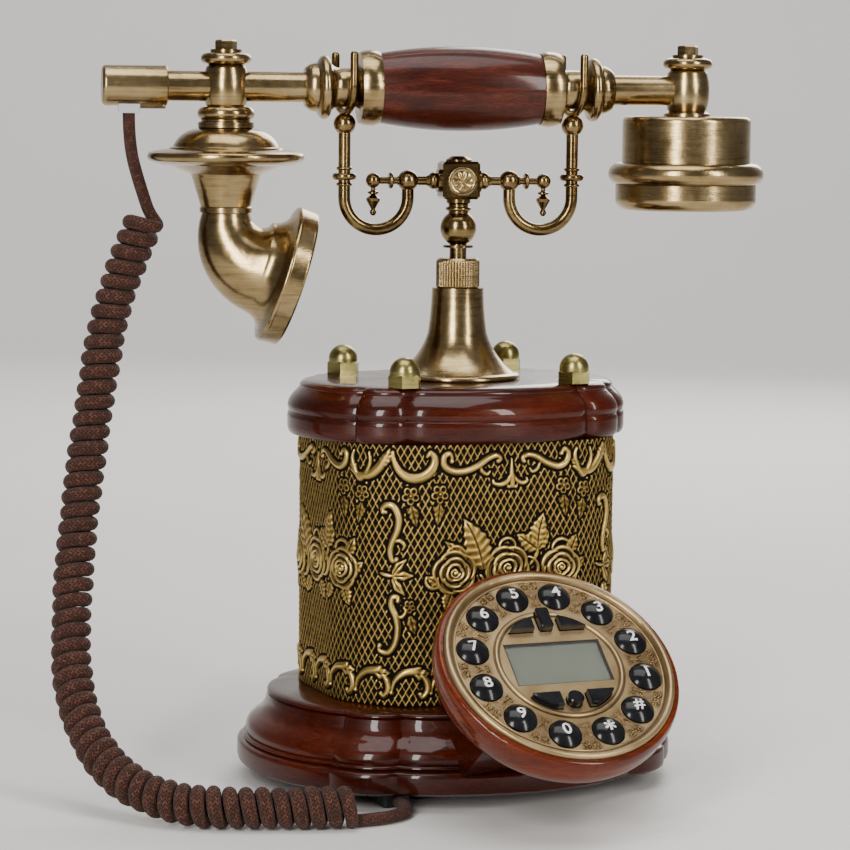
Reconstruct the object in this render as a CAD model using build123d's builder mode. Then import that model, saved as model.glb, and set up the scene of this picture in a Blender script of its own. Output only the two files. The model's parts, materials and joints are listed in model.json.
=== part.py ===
"""Antique-style column telephone: oval casing, cradle, handset, keypad dial and curly cord.

Millimetres. +Z is up, -Y is the front, where the dial leans out. The origin is on the table,
under the axis of the column. The cradle and the handset are turned about Z on the column.
"""

import os
from math import cos, radians, sin, sqrt, tan

from build123d import *

os.makedirs("parts", exist_ok=True)

# Heights above the table
FOOT_HEIGHT = 6.0
BAND_TOP = 15.5
PLINTH_TOP = 37.0
CASING_TOP = 138.5
PLATE_EDGE = 153.0
PLATE_TOP = 159.8
NUT_HEX = 5.0
NUT_TOP = 171.5
COLUMN_TOP = 196.0
COLLAR_TOP = 207.8
STEM_DISC = 212.0
BALL_Z = 219.7
CUBE_BOTTOM = 231.3
BAR_Z = 238.5
HANDSET_Z = 274.9

# Base, half widths and radii
PLINTH_X, PLINTH_Y = 88.0, 77.0
PLINTH_TOP_X, PLINTH_TOP_Y = 76.0, 63.0
CASING_X, CASING_Y = 60.0, 49.0
CASING_RADIUS = 36.0
CASING_WALL = 3.0
PLATE_X, PLATE_Y = 69.0, 53.0
PLATE_SLOPE = 6.5
EASE = 1.5
CAVITY_X, CAVITY_Y = 46.0, 43.0
BASE_PLATE_HALF = 56.0
BASE_PLATE_THICK = 2.0
ROD_X, ROD_Y = 36.0, 33.8
ROD_R = 2.5
STEM_R = 3.4
CUBE = 15.0

# Dial
DIAL_LEAN = 49.5
DIAL_CENTRE = (0.0, -101.7, 61.1)
DIAL_R = 44.8
BOWL_R = 47.5
BOWL_DEPTH = 20.0
FACE_THICK = 2.0
KEY_CIRCLE_R = 33.6
KEY_R = 6.15
KEY_GAP = 0.3
KEY_TRAVEL = 1.5
WINDOW = (38.8, 19.4)
WINDOW_UP = 1.0
INNER_RING_R = 24.4
BOARD_TOP = -6.6

# Head: cradle and handset
HEAD_TURN = -12.5
HOOK_IN, HOOK_OUT = 20.5, 46.0
HOOK_ROD_R = 2.4
HUB_X = 93.0
TUBE_R = 5.9
PRONG_R = 1.6
PRONG_OUT = 10.5

# Curly cord
WIRE_D = 5.0
COIL_D = 16.0

HEAD = Plane(
    origin=(0, 0, 0),
    x_dir=(cos(radians(HEAD_TURN)), sin(radians(HEAD_TURN)), 0),
    z_dir=(0, 0, 1),
)
SIDE = Plane(origin=(0, 0, 0), x_dir=HEAD.x_dir, z_dir=-HEAD.y_dir)
COLUMN_AXIS = Axis((0, 0, 0), (0, 0, 1))
LEAN = radians(DIAL_LEAN)
DIAL_NORMAL = Vector(0, -cos(LEAN), sin(LEAN))
DIAL_UP = Vector(0, sin(LEAN), cos(LEAN))
DIAL = Plane(origin=DIAL_CENTRE, x_dir=(1, 0, 0), z_dir=DIAL_NORMAL)
DIAL_SIDE = Plane(origin=DIAL_CENTRE, x_dir=(1, 0, 0), z_dir=-DIAL_UP)
DIAL_AXIS = Axis(DIAL_CENTRE, DIAL_NORMAL)


def finish(builder, label):
    """Label a finished piece and write it."""
    builder.part.label = label
    export_step(builder.part, f"parts/{label}.step")


def head_axis(x):
    """The upright axis through a point on the head's long line."""
    return Axis(HEAD.from_local_coords((x, 0, 0)), (0, 0, 1))


def long_axis(z):
    """The head's long line at a height."""
    return Axis(HEAD.from_local_coords((0, 0, z)), HEAD.x_dir)


def turned(plane, axis, start, *steps, mode=Mode.ADD):
    """Turn a closed outline about an axis: a step is a point, or the middle and end of an arc."""
    with BuildSketch(plane) as sketch:
        with BuildLine():
            here = start
            for step in steps:
                if isinstance(step[0], tuple):
                    ThreePointArc(here, step[0], step[1])
                    here = step[1]
                else:
                    Line(here, step)
                    here = step
            Line(here, start)
        make_face()
    revolve(sketch.sketch, axis=axis, mode=mode)


def dome(radius, height, base):
    """The middle and end of the arc that closes a round end on its axis."""
    sphere = (radius**2 + height**2) / (2 * height)
    middle = radius / 2
    return ((middle, base + height - sphere + sqrt(sphere**2 - middle**2)), (0.0, base + height))


def shifted(x, *steps):
    """Move an outline of (radius, height) steps sideways, to turn it about an axis at x."""
    moved = []
    for step in steps:
        if isinstance(step[0], tuple):
            moved.append(tuple((x + r, z) for r, z in step))
        else:
            moved.append((x + step[0], step[1]))
    return moved


def oval(plane, half_x, half_y):
    """An oval of four shallow arcs with a pillow between each two, meeting them in creases."""
    front_x, front_y = 0.568 * half_x, 0.827 * half_y
    side_x, side_y = 0.824 * half_x, 0.613 * half_y
    pillow_x, pillow_y = 0.714 * half_x, 0.739 * half_y
    with BuildSketch(plane) as sketch:
        with BuildLine():
            for sign in (-1, 1):
                ThreePointArc((-front_x, sign * front_y), (0, sign * half_y), (front_x, sign * front_y))
                ThreePointArc((sign * side_x, -side_y), (sign * half_x, 0), (sign * side_x, side_y))
            for sx, sy in ((1, 1), (-1, 1), (-1, -1), (1, -1)):
                ThreePointArc(
                    (sx * front_x, sy * front_y), (sx * pillow_x, sy * pillow_y), (sx * side_x, sy * side_y)
                )
        make_face()
    return sketch.sketch


# ---------------------------------------------------------------- base and casing

with BuildPart() as foot_ring:
    with BuildSketch():
        RectangleRounded(88, 88, 14)
        RectangleRounded(72, 72, 8, mode=Mode.SUBTRACT)
    extrude(amount=FOOT_HEIGHT)
finish(foot_ring, "foot_ring")

with BuildPart() as base_plate:
    with BuildSketch(Plane.XY.offset(FOOT_HEIGHT)):
        RectangleRounded(2 * BASE_PLATE_HALF, 2 * BASE_PLATE_HALF, 20)
        with GridLocations(2 * ROD_X, 2 * ROD_Y, 2, 2):
            Circle(ROD_R + 0.1, mode=Mode.SUBTRACT)
    extrude(amount=BASE_PLATE_THICK)
finish(base_plate, "base_plate")

PLATE_SEAT = FOOT_HEIGHT + BASE_PLATE_THICK
JACK_W, JACK_H, JACK_Z = 16.0, 14.0, 12.0
JACK_BACK, JACK_FRONT = 50.0, 71.5

with BuildPart() as plinth:
    extrude(oval(Plane.XY.offset(FOOT_HEIGHT + EASE), PLINTH_X, PLINTH_Y), BAND_TOP - FOOT_HEIGHT - EASE)
    foot_level = oval(Plane.XY.offset(FOOT_HEIGHT), PLINTH_X - EASE, PLINTH_Y - EASE)
    band_level = oval(Plane.XY.offset(FOOT_HEIGHT + EASE), PLINTH_X, PLINTH_Y)
    loft([foot_level, band_level], ruled=True)
    lower = oval(Plane.XY.offset(BAND_TOP), PLINTH_X - 1.5, PLINTH_Y - 1.5)
    upper = oval(Plane.XY.offset(PLINTH_TOP), PLINTH_TOP_X, PLINTH_TOP_Y)
    loft([lower, upper], ruled=True)
    with BuildSketch(Plane.XY.offset(FOOT_HEIGHT)):
        RectangleRounded(2 * CAVITY_X, 2 * CAVITY_Y, 22)
    extrude(amount=PLINTH_TOP, mode=Mode.SUBTRACT)
    with BuildSketch(Plane.XY.offset(FOOT_HEIGHT)):
        RectangleRounded(2 * BASE_PLATE_HALF + 0.4, 2 * BASE_PLATE_HALF + 0.4, 20.2)
    extrude(amount=BASE_PLATE_THICK, mode=Mode.SUBTRACT)
    with BuildSketch(Plane.XZ.offset(-CAVITY_Y + 2)):
        with Locations((0, JACK_Z + JACK_H / 2)):
            Rectangle(JACK_W + 0.2, JACK_H + 0.2)
    extrude(amount=-40, mode=Mode.SUBTRACT)
finish(plinth, "plinth")

with BuildPart() as line_jack:
    with BuildSketch(Plane.XZ.offset(-JACK_BACK)):
        with Locations((0, JACK_Z + JACK_H / 2)):
            Rectangle(JACK_W, JACK_H)
    extrude(amount=-(JACK_FRONT - JACK_BACK))
    with BuildSketch(Plane.XZ.offset(-JACK_FRONT)):
        with Locations((0, JACK_Z + JACK_H / 2)):
            Rectangle(11.8, 7.0)
        with Locations((0, JACK_Z + JACK_H / 2 - 4.2)):
            Rectangle(6.2, 3.0)
    extrude(amount=13, mode=Mode.SUBTRACT)
finish(line_jack, "line_jack")

with BuildPart() as casing:
    with BuildSketch(Plane.XY.offset(PLINTH_TOP)):
        RectangleRounded(2 * CASING_X, 2 * CASING_Y, CASING_RADIUS)
        RectangleRounded(
            2 * (CASING_X - CASING_WALL),
            2 * (CASING_Y - CASING_WALL),
            CASING_RADIUS - CASING_WALL,
            mode=Mode.SUBTRACT,
        )
    extrude(amount=CASING_TOP - PLINTH_TOP)
finish(casing, "casing")

with BuildPart() as top_plate:
    extrude(oval(Plane.XY.offset(CASING_TOP + EASE), PLATE_X, PLATE_Y), PLATE_EDGE - CASING_TOP - EASE)
    seat_level = oval(Plane.XY.offset(CASING_TOP), PLATE_X - EASE, PLATE_Y - EASE)
    lower_level = oval(Plane.XY.offset(CASING_TOP + EASE), PLATE_X, PLATE_Y)
    loft([seat_level, lower_level], ruled=True)
    edge_level = oval(Plane.XY.offset(PLATE_EDGE), PLATE_X, PLATE_Y)
    top_level = oval(Plane.XY.offset(PLATE_TOP), PLATE_X - PLATE_SLOPE, PLATE_Y - PLATE_SLOPE)
    loft([edge_level, top_level], ruled=True)
    with BuildSketch(Plane.XY.offset(CASING_TOP)):
        Circle(STEM_R + 0.8)
        with GridLocations(2 * ROD_X, 2 * ROD_Y, 2, 2):
            Circle(ROD_R + 0.1)
    extrude(amount=PLATE_TOP, mode=Mode.SUBTRACT)
finish(top_plate, "top_plate")

with BuildPart() as tie_rods:
    with BuildSketch(Plane.XY.offset(FOOT_HEIGHT + 0.4)):
        with GridLocations(2 * ROD_X, 2 * ROD_Y, 2, 2):
            Circle(ROD_R)
    extrude(amount=NUT_TOP - 4.5 - FOOT_HEIGHT)
finish(tie_rods, "tie_rods")

with BuildPart() as acorn_nuts:
    with BuildSketch(Plane.XY.offset(PLATE_TOP)):
        with GridLocations(2 * ROD_X, 2 * ROD_Y, 2, 2):
            RegularPolygon(6.8, 6)
    extrude(amount=NUT_HEX)
    chamfer(acorn_nuts.edges().group_by(Axis.Z)[-1], 0.6)
    for nut_x in (-ROD_X, ROD_X):
        for nut_y in (-ROD_Y, ROD_Y):
            nut_side = Plane(origin=(nut_x, nut_y, 0), x_dir=(1, 0, 0), z_dir=(0, -1, 0))
            turned(
                nut_side,
                Axis((nut_x, nut_y, 0), (0, 0, 1)),
                (0, PLATE_TOP + NUT_HEX - 1),
                (5.85, PLATE_TOP + NUT_HEX - 1),
                (5.85, PLATE_TOP + NUT_HEX + 1.2),
                dome(5.85, NUT_TOP - PLATE_TOP - NUT_HEX - 1.2, PLATE_TOP + NUT_HEX + 1.2),
            )
    with BuildSketch(Plane.XY.offset(PLATE_TOP)):
        with GridLocations(2 * ROD_X, 2 * ROD_Y, 2, 2):
            Circle(ROD_R + 0.1)
    extrude(amount=NUT_TOP - 3 - PLATE_TOP, mode=Mode.SUBTRACT)
finish(acorn_nuts, "acorn_nuts")

with BuildPart() as column:
    turned(
        SIDE,
        COLUMN_AXIS,
        (STEM_R + 0.4, PLATE_TOP),
        (24.9, PLATE_TOP),
        ((25.3, PLATE_TOP + 1.1), (24.5, PLATE_TOP + 2.2)),
        (22.6, PLATE_TOP + 2.6),
        ((16.1, 169.2), (11.8, 178.0)),
        ((10.75, 187.0), (10.3, COLUMN_TOP)),
        (STEM_R + 0.4, COLUMN_TOP),
    )
finish(column, "column")

with BuildPart() as knurled_collar:
    turned(
        SIDE,
        COLUMN_AXIS,
        (STEM_R + 0.1, COLUMN_TOP),
        (8.1, COLUMN_TOP),
        (8.75, COLUMN_TOP + 0.7),
        (8.75, COLLAR_TOP - 1.0),
        (7.9, COLLAR_TOP),
        (STEM_R + 0.1, COLLAR_TOP),
    )
finish(knurled_collar, "knurled_collar")

# ---------------------------------------------------------------- inside the casing

SPRING_LOW, SPRING_HIGH = 112.0, 128.0
SPRING_MID_R, SPRING_WIRE_R = 5.4, 0.6

with BuildPart() as hook_switch:
    with BuildSketch(Plane.XY.offset(SPRING_LOW - 2)):
        Rectangle(44, 20)
        Circle(STEM_R + 0.6, mode=Mode.SUBTRACT)
    extrude(amount=2)
    with BuildSketch(Plane.XY.offset(SPRING_LOW - 2)):
        with GridLocations(42, 0, 2, 1):
            Rectangle(2, 20)
    extrude(amount=CASING_TOP - SPRING_LOW + 2)
    with BuildSketch(Plane.XY.offset(90)):
        with Locations((-21, 0)):
            Rectangle(2, 20)
    extrude(amount=SPRING_LOW - 90)
    with BuildSketch(Plane.XY.offset(92)):
        with Locations((-7, 0)):
            Rectangle(28, 10)
    extrude(amount=12)
finish(hook_switch, "hook_switch")

with BuildPart() as return_spring:
    with BuildLine():
        coil = Helix(
            pitch=2.6,
            height=SPRING_HIGH - SPRING_LOW - 3 * SPRING_WIRE_R,
            radius=SPRING_MID_R,
            center=(0, 0, SPRING_LOW + 1.5 * SPRING_WIRE_R),
        )
    with BuildSketch(Plane(origin=coil @ 0, z_dir=coil % 0)):
        Circle(SPRING_WIRE_R)
    sweep()
finish(return_spring, "return_spring")

with BuildPart() as main_board:
    with BuildSketch(Plane.XY.offset(PLATE_SEAT + 5)):
        with Locations((0, 18)):
            Rectangle(60, 44)
    extrude(amount=1.6)
    with BuildSketch(Plane.XY.offset(PLATE_SEAT)):
        with Locations((0, 18)):
            with GridLocations(52, 36, 2, 2):
                Circle(2.6)
    extrude(amount=5)
    with BuildSketch(Plane.XY.offset(PLATE_SEAT + 6.6)):
        with Locations((-10, 18)):
            Rectangle(16, 12)
        with Locations((16, 12)):
            Rectangle(8, 18)
    extrude(amount=3)
finish(main_board, "main_board")

with BuildPart() as ringer:
    turned(
        Plane(origin=(-10, -24, 0), x_dir=(1, 0, 0), z_dir=(0, -1, 0)),
        Axis((-10, -24, 0), (0, 0, 1)),
        (0, PLATE_SEAT),
        (10, PLATE_SEAT),
        (10, PLATE_SEAT + 6),
        (18, PLATE_SEAT + 9),
        (18, PLATE_SEAT + 12),
        (16, PLATE_SEAT + 12),
        (0, PLATE_SEAT + 9),
    )
finish(ringer, "ringer")

INLET_X, INLET_Y = -46.0, -55.0

with BuildPart() as cord_inlet:
    with BuildSketch(Plane.XY.offset(0.3)):
        with Locations((INLET_X, INLET_Y + 4.5)):
            RectangleRounded(11, 9, 1.2)
    extrude(amount=FOOT_HEIGHT - 0.3)
finish(cord_inlet, "cord_inlet")

# ---------------------------------------------------------------- dial


def dial_point(up, out):
    """A point on the dial's middle plane as (Y, Z)."""
    point = DIAL.from_local_coords((0, up, out))
    return (point.Y, point.Z)


with BuildPart() as dial_pedestal:
    with BuildSketch(Plane.YZ.offset(-27)):
        with BuildLine():
            Polyline(
                (-CASING_Y - 1.5, 30),
                (-CASING_Y - 1.5, 60),
                dial_point(22, -BOWL_DEPTH),
                dial_point(-18, -BOWL_DEPTH),
                (-PLINTH_Y + 5, BAND_TOP - 2),
                (-60, BAND_TOP - 2),
                close=True,
            )
        make_face()
    extrude(amount=54)
    fillet(dial_pedestal.edges().filter_by(Axis.X).group_by(Axis.Y)[0], 1.0)
    add(plinth.part, mode=Mode.SUBTRACT)
finish(dial_pedestal, "dial_pedestal")

BOWL_BACK_R = 36.0

with BuildPart() as dial_bowl:
    turned(
        DIAL_SIDE,
        DIAL_AXIS,
        (0, -BOWL_DEPTH),
        (BOWL_BACK_R, -BOWL_DEPTH),
        ((43.8, -15.2), (BOWL_R - 0.2, -6.0)),
        ((BOWL_R, -3.5), (BOWL_R - 0.4, -1.2)),
        ((46.6, -0.3), (45.9, 0)),
        (DIAL_R + 0.2, 0),
        (DIAL_R + 0.2, -FACE_THICK),
        (DIAL_R - 3.8, -FACE_THICK),
        (DIAL_R - 3.8, 3 - BOWL_DEPTH),
        (0, 3 - BOWL_DEPTH),
    )
finish(dial_bowl, "dial_bowl")

NUMBER_KEYS = {
    "key_4": 15,
    "key_3": 45,
    "key_2": 75,
    "key_1": 105,
    "key_hash": 135,
    "key_star": 165,
    "key_0": 195,
    "key_9": 225,
    "key_8": 255,
    "key_7": 285,
    "key_6": 315,
    "key_5": 345,
}


def key_centre(angle):
    """A number key's place, by its clockwise angle from the top of the dial."""
    return (KEY_CIRCLE_R * sin(radians(angle)), KEY_CIRCLE_R * cos(radians(angle)))


FUNCTION_KEYS = ["key_redial", "key_clear", "key_flash", "key_up", "key_set", "key_down"]
SEGMENT_R = 22.3
SEGMENT_X = 10.9


def function_key(name, height, grow):
    """A function key's outline in the dial's plane, grown all round."""
    with BuildSketch(DIAL.offset(height)) as sketch:
        if name == "key_set":
            with Locations((0, -17.6)):
                Circle(3.1 + grow)
        elif name == "key_clear":
            with Locations((0, 20.9)):
                RectangleRounded(5.2 + 2 * grow, 9.5 + 2 * grow, 1.0 + grow)
        else:
            side = -1 if name in ("key_redial", "key_up") else 1
            row = 19.2 if name in ("key_redial", "key_flash") else -17.6
            with Locations((side * SEGMENT_X, row)):
                Rectangle(10.8 + 2 * grow, 6.4 + 2 * grow)
            Circle(SEGMENT_R + grow, mode=Mode.INTERSECT)
    return sketch.sketch


with BuildPart() as dial_face:
    turned(
        DIAL_SIDE,
        DIAL_AXIS,
        (0, -FACE_THICK),
        (DIAL_R, -FACE_THICK),
        (DIAL_R, 0.6),
        ((43.6, 1.75), (42.2, 0.9)),
        (41.8, 0),
        (41.1, 0),
        ((40.7, 0.5), (40.3, 0)),
        (INNER_RING_R + 0.9, 0),
        ((INNER_RING_R, 0.95), (INNER_RING_R - 0.9, 0)),
        (0, 0),
    )
    with BuildSketch(DIAL.offset(-FACE_THICK)):
        with Locations(*[key_centre(angle) for angle in NUMBER_KEYS.values()]):
            Circle(KEY_R + KEY_GAP)
        with Locations((0, WINDOW_UP)):
            Rectangle(WINDOW[0] + 0.4, WINDOW[1] + 0.4)
    extrude(amount=2 * FACE_THICK, mode=Mode.SUBTRACT)
    for name in FUNCTION_KEYS:
        extrude(function_key(name, -FACE_THICK, KEY_GAP), 2 * FACE_THICK, mode=Mode.SUBTRACT)
finish(dial_face, "dial_face")

with BuildPart() as display_window:
    with BuildSketch(DIAL.offset(-FACE_THICK)):
        with Locations((0, WINDOW_UP)):
            Rectangle(*WINDOW)
    extrude(amount=1.2)
finish(display_window, "display_window")

with BuildPart() as display_module:
    with BuildSketch(DIAL.offset(BOARD_TOP)):
        with Locations((0, WINDOW_UP)):
            Rectangle(WINDOW[0] + 3, WINDOW[1] + 2.4)
    extrude(amount=-BOARD_TOP - FACE_THICK)
finish(display_module, "display_module")

with BuildPart() as keypad_board:
    with BuildSketch(DIAL.offset(BOARD_TOP - 1.6)):
        Circle(40)
    extrude(amount=1.6)
finish(keypad_board, "keypad_board")

KEY_BACK = BOARD_TOP + KEY_TRAVEL + 0.5
KEY_FLANGE = 1.0
KEY_DOME_BASE = 0.8
KEY_DOME = 2.3
WEDGE_TOP = 3.2

for name, angle in NUMBER_KEYS.items():
    key_u, key_v = key_centre(angle)
    key_origin = DIAL.from_local_coords((key_u, key_v, 0))
    with BuildPart() as number_key:
        turned(
            Plane(origin=key_origin, x_dir=(1, 0, 0), z_dir=-DIAL_UP),
            Axis(key_origin, DIAL_NORMAL),
            (0, KEY_BACK),
            (KEY_R + 1, KEY_BACK),
            (KEY_R + 1, KEY_BACK + KEY_FLANGE),
            (KEY_R, KEY_BACK + KEY_FLANGE),
            (KEY_R, KEY_DOME_BASE),
            dome(KEY_R, KEY_DOME, KEY_DOME_BASE),
        )
    finish(number_key, name)

for name in FUNCTION_KEYS:
    with BuildPart() as small_key:
        extrude(function_key(name, KEY_BACK, 0.8), KEY_FLANGE)
        extrude(function_key(name, KEY_BACK, 0), WEDGE_TOP - KEY_BACK)
        chamfer(small_key.faces().sort_by(DIAL_AXIS)[-1].edges(), 0.5)
    finish(small_key, name)

# ---------------------------------------------------------------- cradle

NECK_R = 4.0

with BuildPart() as cradle_stem:
    ball_r = 7.2
    turned(
        SIDE,
        COLUMN_AXIS,
        (0, 105),
        (STEM_R - 0.5, 105),
        (STEM_R, 105.5),
        (STEM_R, SPRING_HIGH),
        (6.8, SPRING_HIGH),
        (6.8, SPRING_HIGH + 2),
        (STEM_R, SPRING_HIGH + 2),
        (STEM_R, STEM_DISC),
        (6, STEM_DISC),
        (6, STEM_DISC + 1),
        (STEM_R, STEM_DISC + 1),
        (STEM_R, BALL_Z - sqrt(ball_r**2 - STEM_R**2)),
        ((ball_r, BALL_Z), (NECK_R, BALL_Z + sqrt(ball_r**2 - NECK_R**2))),
        (NECK_R, 226.6),
        ((5.1, 227.4), (NECK_R, 228.2)),
        (NECK_R, 229.2),
        (4.8, 229.8),
        (4.8, CUBE_BOTTOM),
        (0, CUBE_BOTTOM),
    )
finish(cradle_stem, "cradle_stem")

BOSS = 1.2

with BuildPart() as cradle_block:
    with BuildSketch(HEAD.offset(CUBE_BOTTOM)):
        Rectangle(CUBE, CUBE)
    extrude(amount=CUBE)
    chamfer(cradle_block.edges(), 1.1)
    turned(SIDE, long_axis(BAR_Z), (-8.7, BAR_Z), (-8.7, BAR_Z + 4.6), (8.7, BAR_Z + 4.6), (8.7, BAR_Z))
    block_top = CUBE_BOTTOM + CUBE
    turned(
        SIDE,
        COLUMN_AXIS,
        (0, block_top - 1),
        (5.2, block_top - 1),
        (5.2, block_top + 0.6),
        (3, block_top + 2),
        (0, block_top + 2.2),
    )
    cross_axis = Axis((0, 0, BAR_Z), HEAD.y_dir)
    cross_plane = Plane(origin=(0, 0, BAR_Z), x_dir=(0, 0, 1), z_dir=HEAD.x_dir)
    turned(cross_plane, cross_axis, (0, -8.6), (5.4, -8.6), (6, -8.0), (6, 8.0), (5.4, 8.6), (0, 8.6))
finish(cradle_block, "cradle_block")

FINIAL_X = 34.4

with BuildPart() as crossbars:
    for side in (-1, 1):
        turned(
            SIDE,
            long_axis(BAR_Z),
            (side * 8.7, BAR_Z),
            (side * 8.7, BAR_Z + 2.8),
            ((side * 10.4, BAR_Z + 3.4), (side * 12.0, BAR_Z + 2.4)),
            (side * 13.2, BAR_Z + 1.8),
            (side * 24.7, BAR_Z + 1.8),
            (side * 24.7, BAR_Z + 1.4),
            (side * 26.6, BAR_Z + 1.4),
            (side * 26.6, BAR_Z + 2.8),
            ((side * 27.4, BAR_Z + 3.3), (side * 28.2, BAR_Z + 2.8)),
            (side * 28.2, BAR_Z + 1.4),
            (side * (FINIAL_X - 2.65), BAR_Z + 1.4),
            ((side * FINIAL_X, BAR_Z + 3.0), (side * (FINIAL_X + 3.0), BAR_Z)),
        )
        turned(
            SIDE,
            head_axis(side * FINIAL_X),
            *shifted(
                side * FINIAL_X,
                (0, BAR_Z - 2),
                (0.9, BAR_Z - 2),
                (0.9, 234.6),
                (2.2, 234.0),
                (2.2, 233.4),
                (0.9, 232.8),
                (2.9, 231.4),
                (2.7, 230.4),
                (0.8, 227.2),
                (1.3, 226.4),
                (1.3, 225.4),
                (0.6, 224.6),
                (0, 224.6),
            ),
        )
finish(crossbars, "crossbars")

ARCH_R = (HOOK_OUT - HOOK_IN) / 2
ARCH_Z = 231.8
HOOK_TOP = 257.2

with BuildPart() as hook_arms:
    for side in (-1, 1):
        middle = side * (HOOK_IN + ARCH_R)
        with BuildLine(SIDE):
            Line((side * HOOK_IN, BAR_Z), (side * HOOK_IN, ARCH_Z))
            ThreePointArc(
                (side * HOOK_IN, ARCH_Z), (middle, ARCH_Z - ARCH_R), (side * HOOK_OUT, ARCH_Z)
            )
            Line((side * HOOK_OUT, ARCH_Z), (side * HOOK_OUT, HOOK_TOP))
        with BuildSketch(HEAD.offset(BAR_Z)):
            with Locations((side * HOOK_IN, 0)):
                Circle(HOOK_ROD_R)
        sweep()
        x_in = side * HOOK_IN
        turned(SIDE, head_axis(x_in), (x_in, BAR_Z - 4.2), ((x_in + 4.2, BAR_Z), (x_in, BAR_Z + 4.2)))
        for ring_z, ring_r, ring_h in ((236.9, 3.2, 0.7), (240.0, 4.8, 1.3), (243.2, 3.2, 0.7)):
            turned(
                SIDE,
                head_axis(side * HOOK_OUT),
                *shifted(
                    side * HOOK_OUT,
                    (0, ring_z - ring_h),
                    (ring_r - 0.7, ring_z - ring_h),
                    ((ring_r, ring_z), (ring_r - 0.7, ring_z + ring_h)),
                    (0, ring_z + ring_h),
                ),
            )
    for side in (-1, 1):
        turned(
            SIDE,
            long_axis(BAR_Z),
            (side * 16.0, BAR_Z),
            (side * 16.0, BAR_Z + 1.8),
            (side * 25.0, BAR_Z + 1.8),
            (side * 25.0, BAR_Z),
            mode=Mode.SUBTRACT,
        )
finish(hook_arms, "hook_arms")

FORK_BALL_Z, FORK_BALL_R = 260.7, 4.4
FORK_LOW = 265.3
PRONG_TIP = 289.0
FORK_FLAT_R = sqrt(FORK_BALL_R**2 - (FORK_BALL_Z - HOOK_TOP) ** 2)

with BuildPart() as forks:
    for side in (-1, 1):
        fork_plane = Plane(
            origin=HEAD.from_local_coords((side * HOOK_OUT, 0, 0)), x_dir=(0, 1, 0), z_dir=(1, 0, 0)
        )
        curve_z = FORK_LOW + PRONG_OUT
        with BuildLine(fork_plane):
            Line((-PRONG_OUT, PRONG_TIP), (-PRONG_OUT, curve_z))
            ThreePointArc((-PRONG_OUT, curve_z), (0, FORK_LOW), (PRONG_OUT, curve_z))
            Line((PRONG_OUT, curve_z), (PRONG_OUT, PRONG_TIP))
        tip = Plane(origin=fork_plane.from_local_coords((-PRONG_OUT, PRONG_TIP, 0)), z_dir=(0, 0, -1))
        with BuildSketch(tip):
            Circle(PRONG_R)
        sweep()
        turned(
            SIDE,
            head_axis(side * HOOK_OUT),
            *shifted(
                side * HOOK_OUT,
                (0, HOOK_TOP),
                (FORK_FLAT_R, HOOK_TOP),
                ((FORK_BALL_R, FORK_BALL_Z), (0, FORK_BALL_Z + FORK_BALL_R)),
            ),
        )
    fillet(forks.edges().group_by(Axis.Z)[-1], PRONG_R * 0.7)
finish(forks, "forks")

# ---------------------------------------------------------------- handset

HZ = HANDSET_Z
CAP_OUT, CAP_IN = 141.5, 116.0
SOCKET_X = -131.0

with BuildPart() as handset_tubes:
    for start, end in ((-CAP_IN - 5, -50.5), (50.5, HUB_X)):
        turned(
            SIDE,
            long_axis(HZ),
            (start, HZ + 4.2),
            (start, HZ + TUBE_R),
            (end, HZ + TUBE_R),
            (end, HZ + 4.2),
        )
finish(handset_tubes, "handset_tubes")

with BuildPart() as end_cap:
    turned(
        SIDE,
        long_axis(HZ),
        (-CAP_OUT, HZ),
        (-CAP_OUT, HZ + 6.2),
        ((-CAP_OUT + 0.5, HZ + 7.4), (-CAP_OUT + 1.7, HZ + 7.9)),
        (-CAP_IN - 0.5, HZ + 7.9),
        (-CAP_IN, HZ + 7.4),
        (-CAP_IN, HZ + TUBE_R),
        (-CAP_IN - 5, HZ + TUBE_R),
        (-CAP_IN - 5, HZ),
    )
    with BuildSketch(HEAD.offset(HZ - 8.9)):
        with Locations((-122.8, 0)):
            RectangleRounded(12, 6, 1)
    extrude(amount=2.6)
    with BuildSketch(HEAD.offset(HZ - 10)):
        with Locations((SOCKET_X, 0)):
            Rectangle(8.6, 6.8)
    extrude(amount=13, mode=Mode.SUBTRACT)
finish(end_cap, "end_cap")

with BuildPart() as hubs:
    for side in (-1, 1):
        turned(
            SIDE,
            head_axis(side * HUB_X),
            *shifted(
                side * HUB_X,
                (0, HZ - 8),
                (7.4, HZ - 8),
                (7.9, HZ - 7.2),
                ((8.9, HZ), (7.9, HZ + 7.2)),
                (7.4, HZ + 8),
                (0, HZ + 8),
            ),
        )
    for start, end in ((-HUB_X - 12, -HUB_X + 12), (HUB_X - 12, HUB_X)):
        turned(
            SIDE,
            long_axis(HZ),
            (start, HZ),
            (start, HZ + TUBE_R),
            (end, HZ + TUBE_R),
            (end, HZ),
            mode=Mode.SUBTRACT,
        )
finish(hubs, "hubs")

KNOB_Z = HZ + 8

with BuildPart() as hub_knobs:
    for side in (-1, 1):
        turned(
            SIDE,
            head_axis(side * HUB_X),
            *shifted(
                side * HUB_X,
                (0, KNOB_Z),
                (6.6, KNOB_Z),
                (7.6, KNOB_Z + 0.8),
                ((9.9, KNOB_Z + 2.9), (8.2, KNOB_Z + 4.9)),
                (6.2, KNOB_Z + 5.4),
                (6.2, KNOB_Z + 6.4),
                (0, KNOB_Z + 6.4),
            ),
        )
        with BuildSketch(HEAD.offset(KNOB_Z + 6.4)):
            with Locations((side * HUB_X, 0)):
                RegularPolygon(4.3, 6)
        extrude(amount=3.7)
    chamfer(hub_knobs.edges().group_by(Axis.Z)[-1], 0.5)
finish(hub_knobs, "hub_knobs")

FERRULE_IN, FERRULE_OUT = 32.4, 40.3
WOOD_END_R = 13.2

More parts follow.
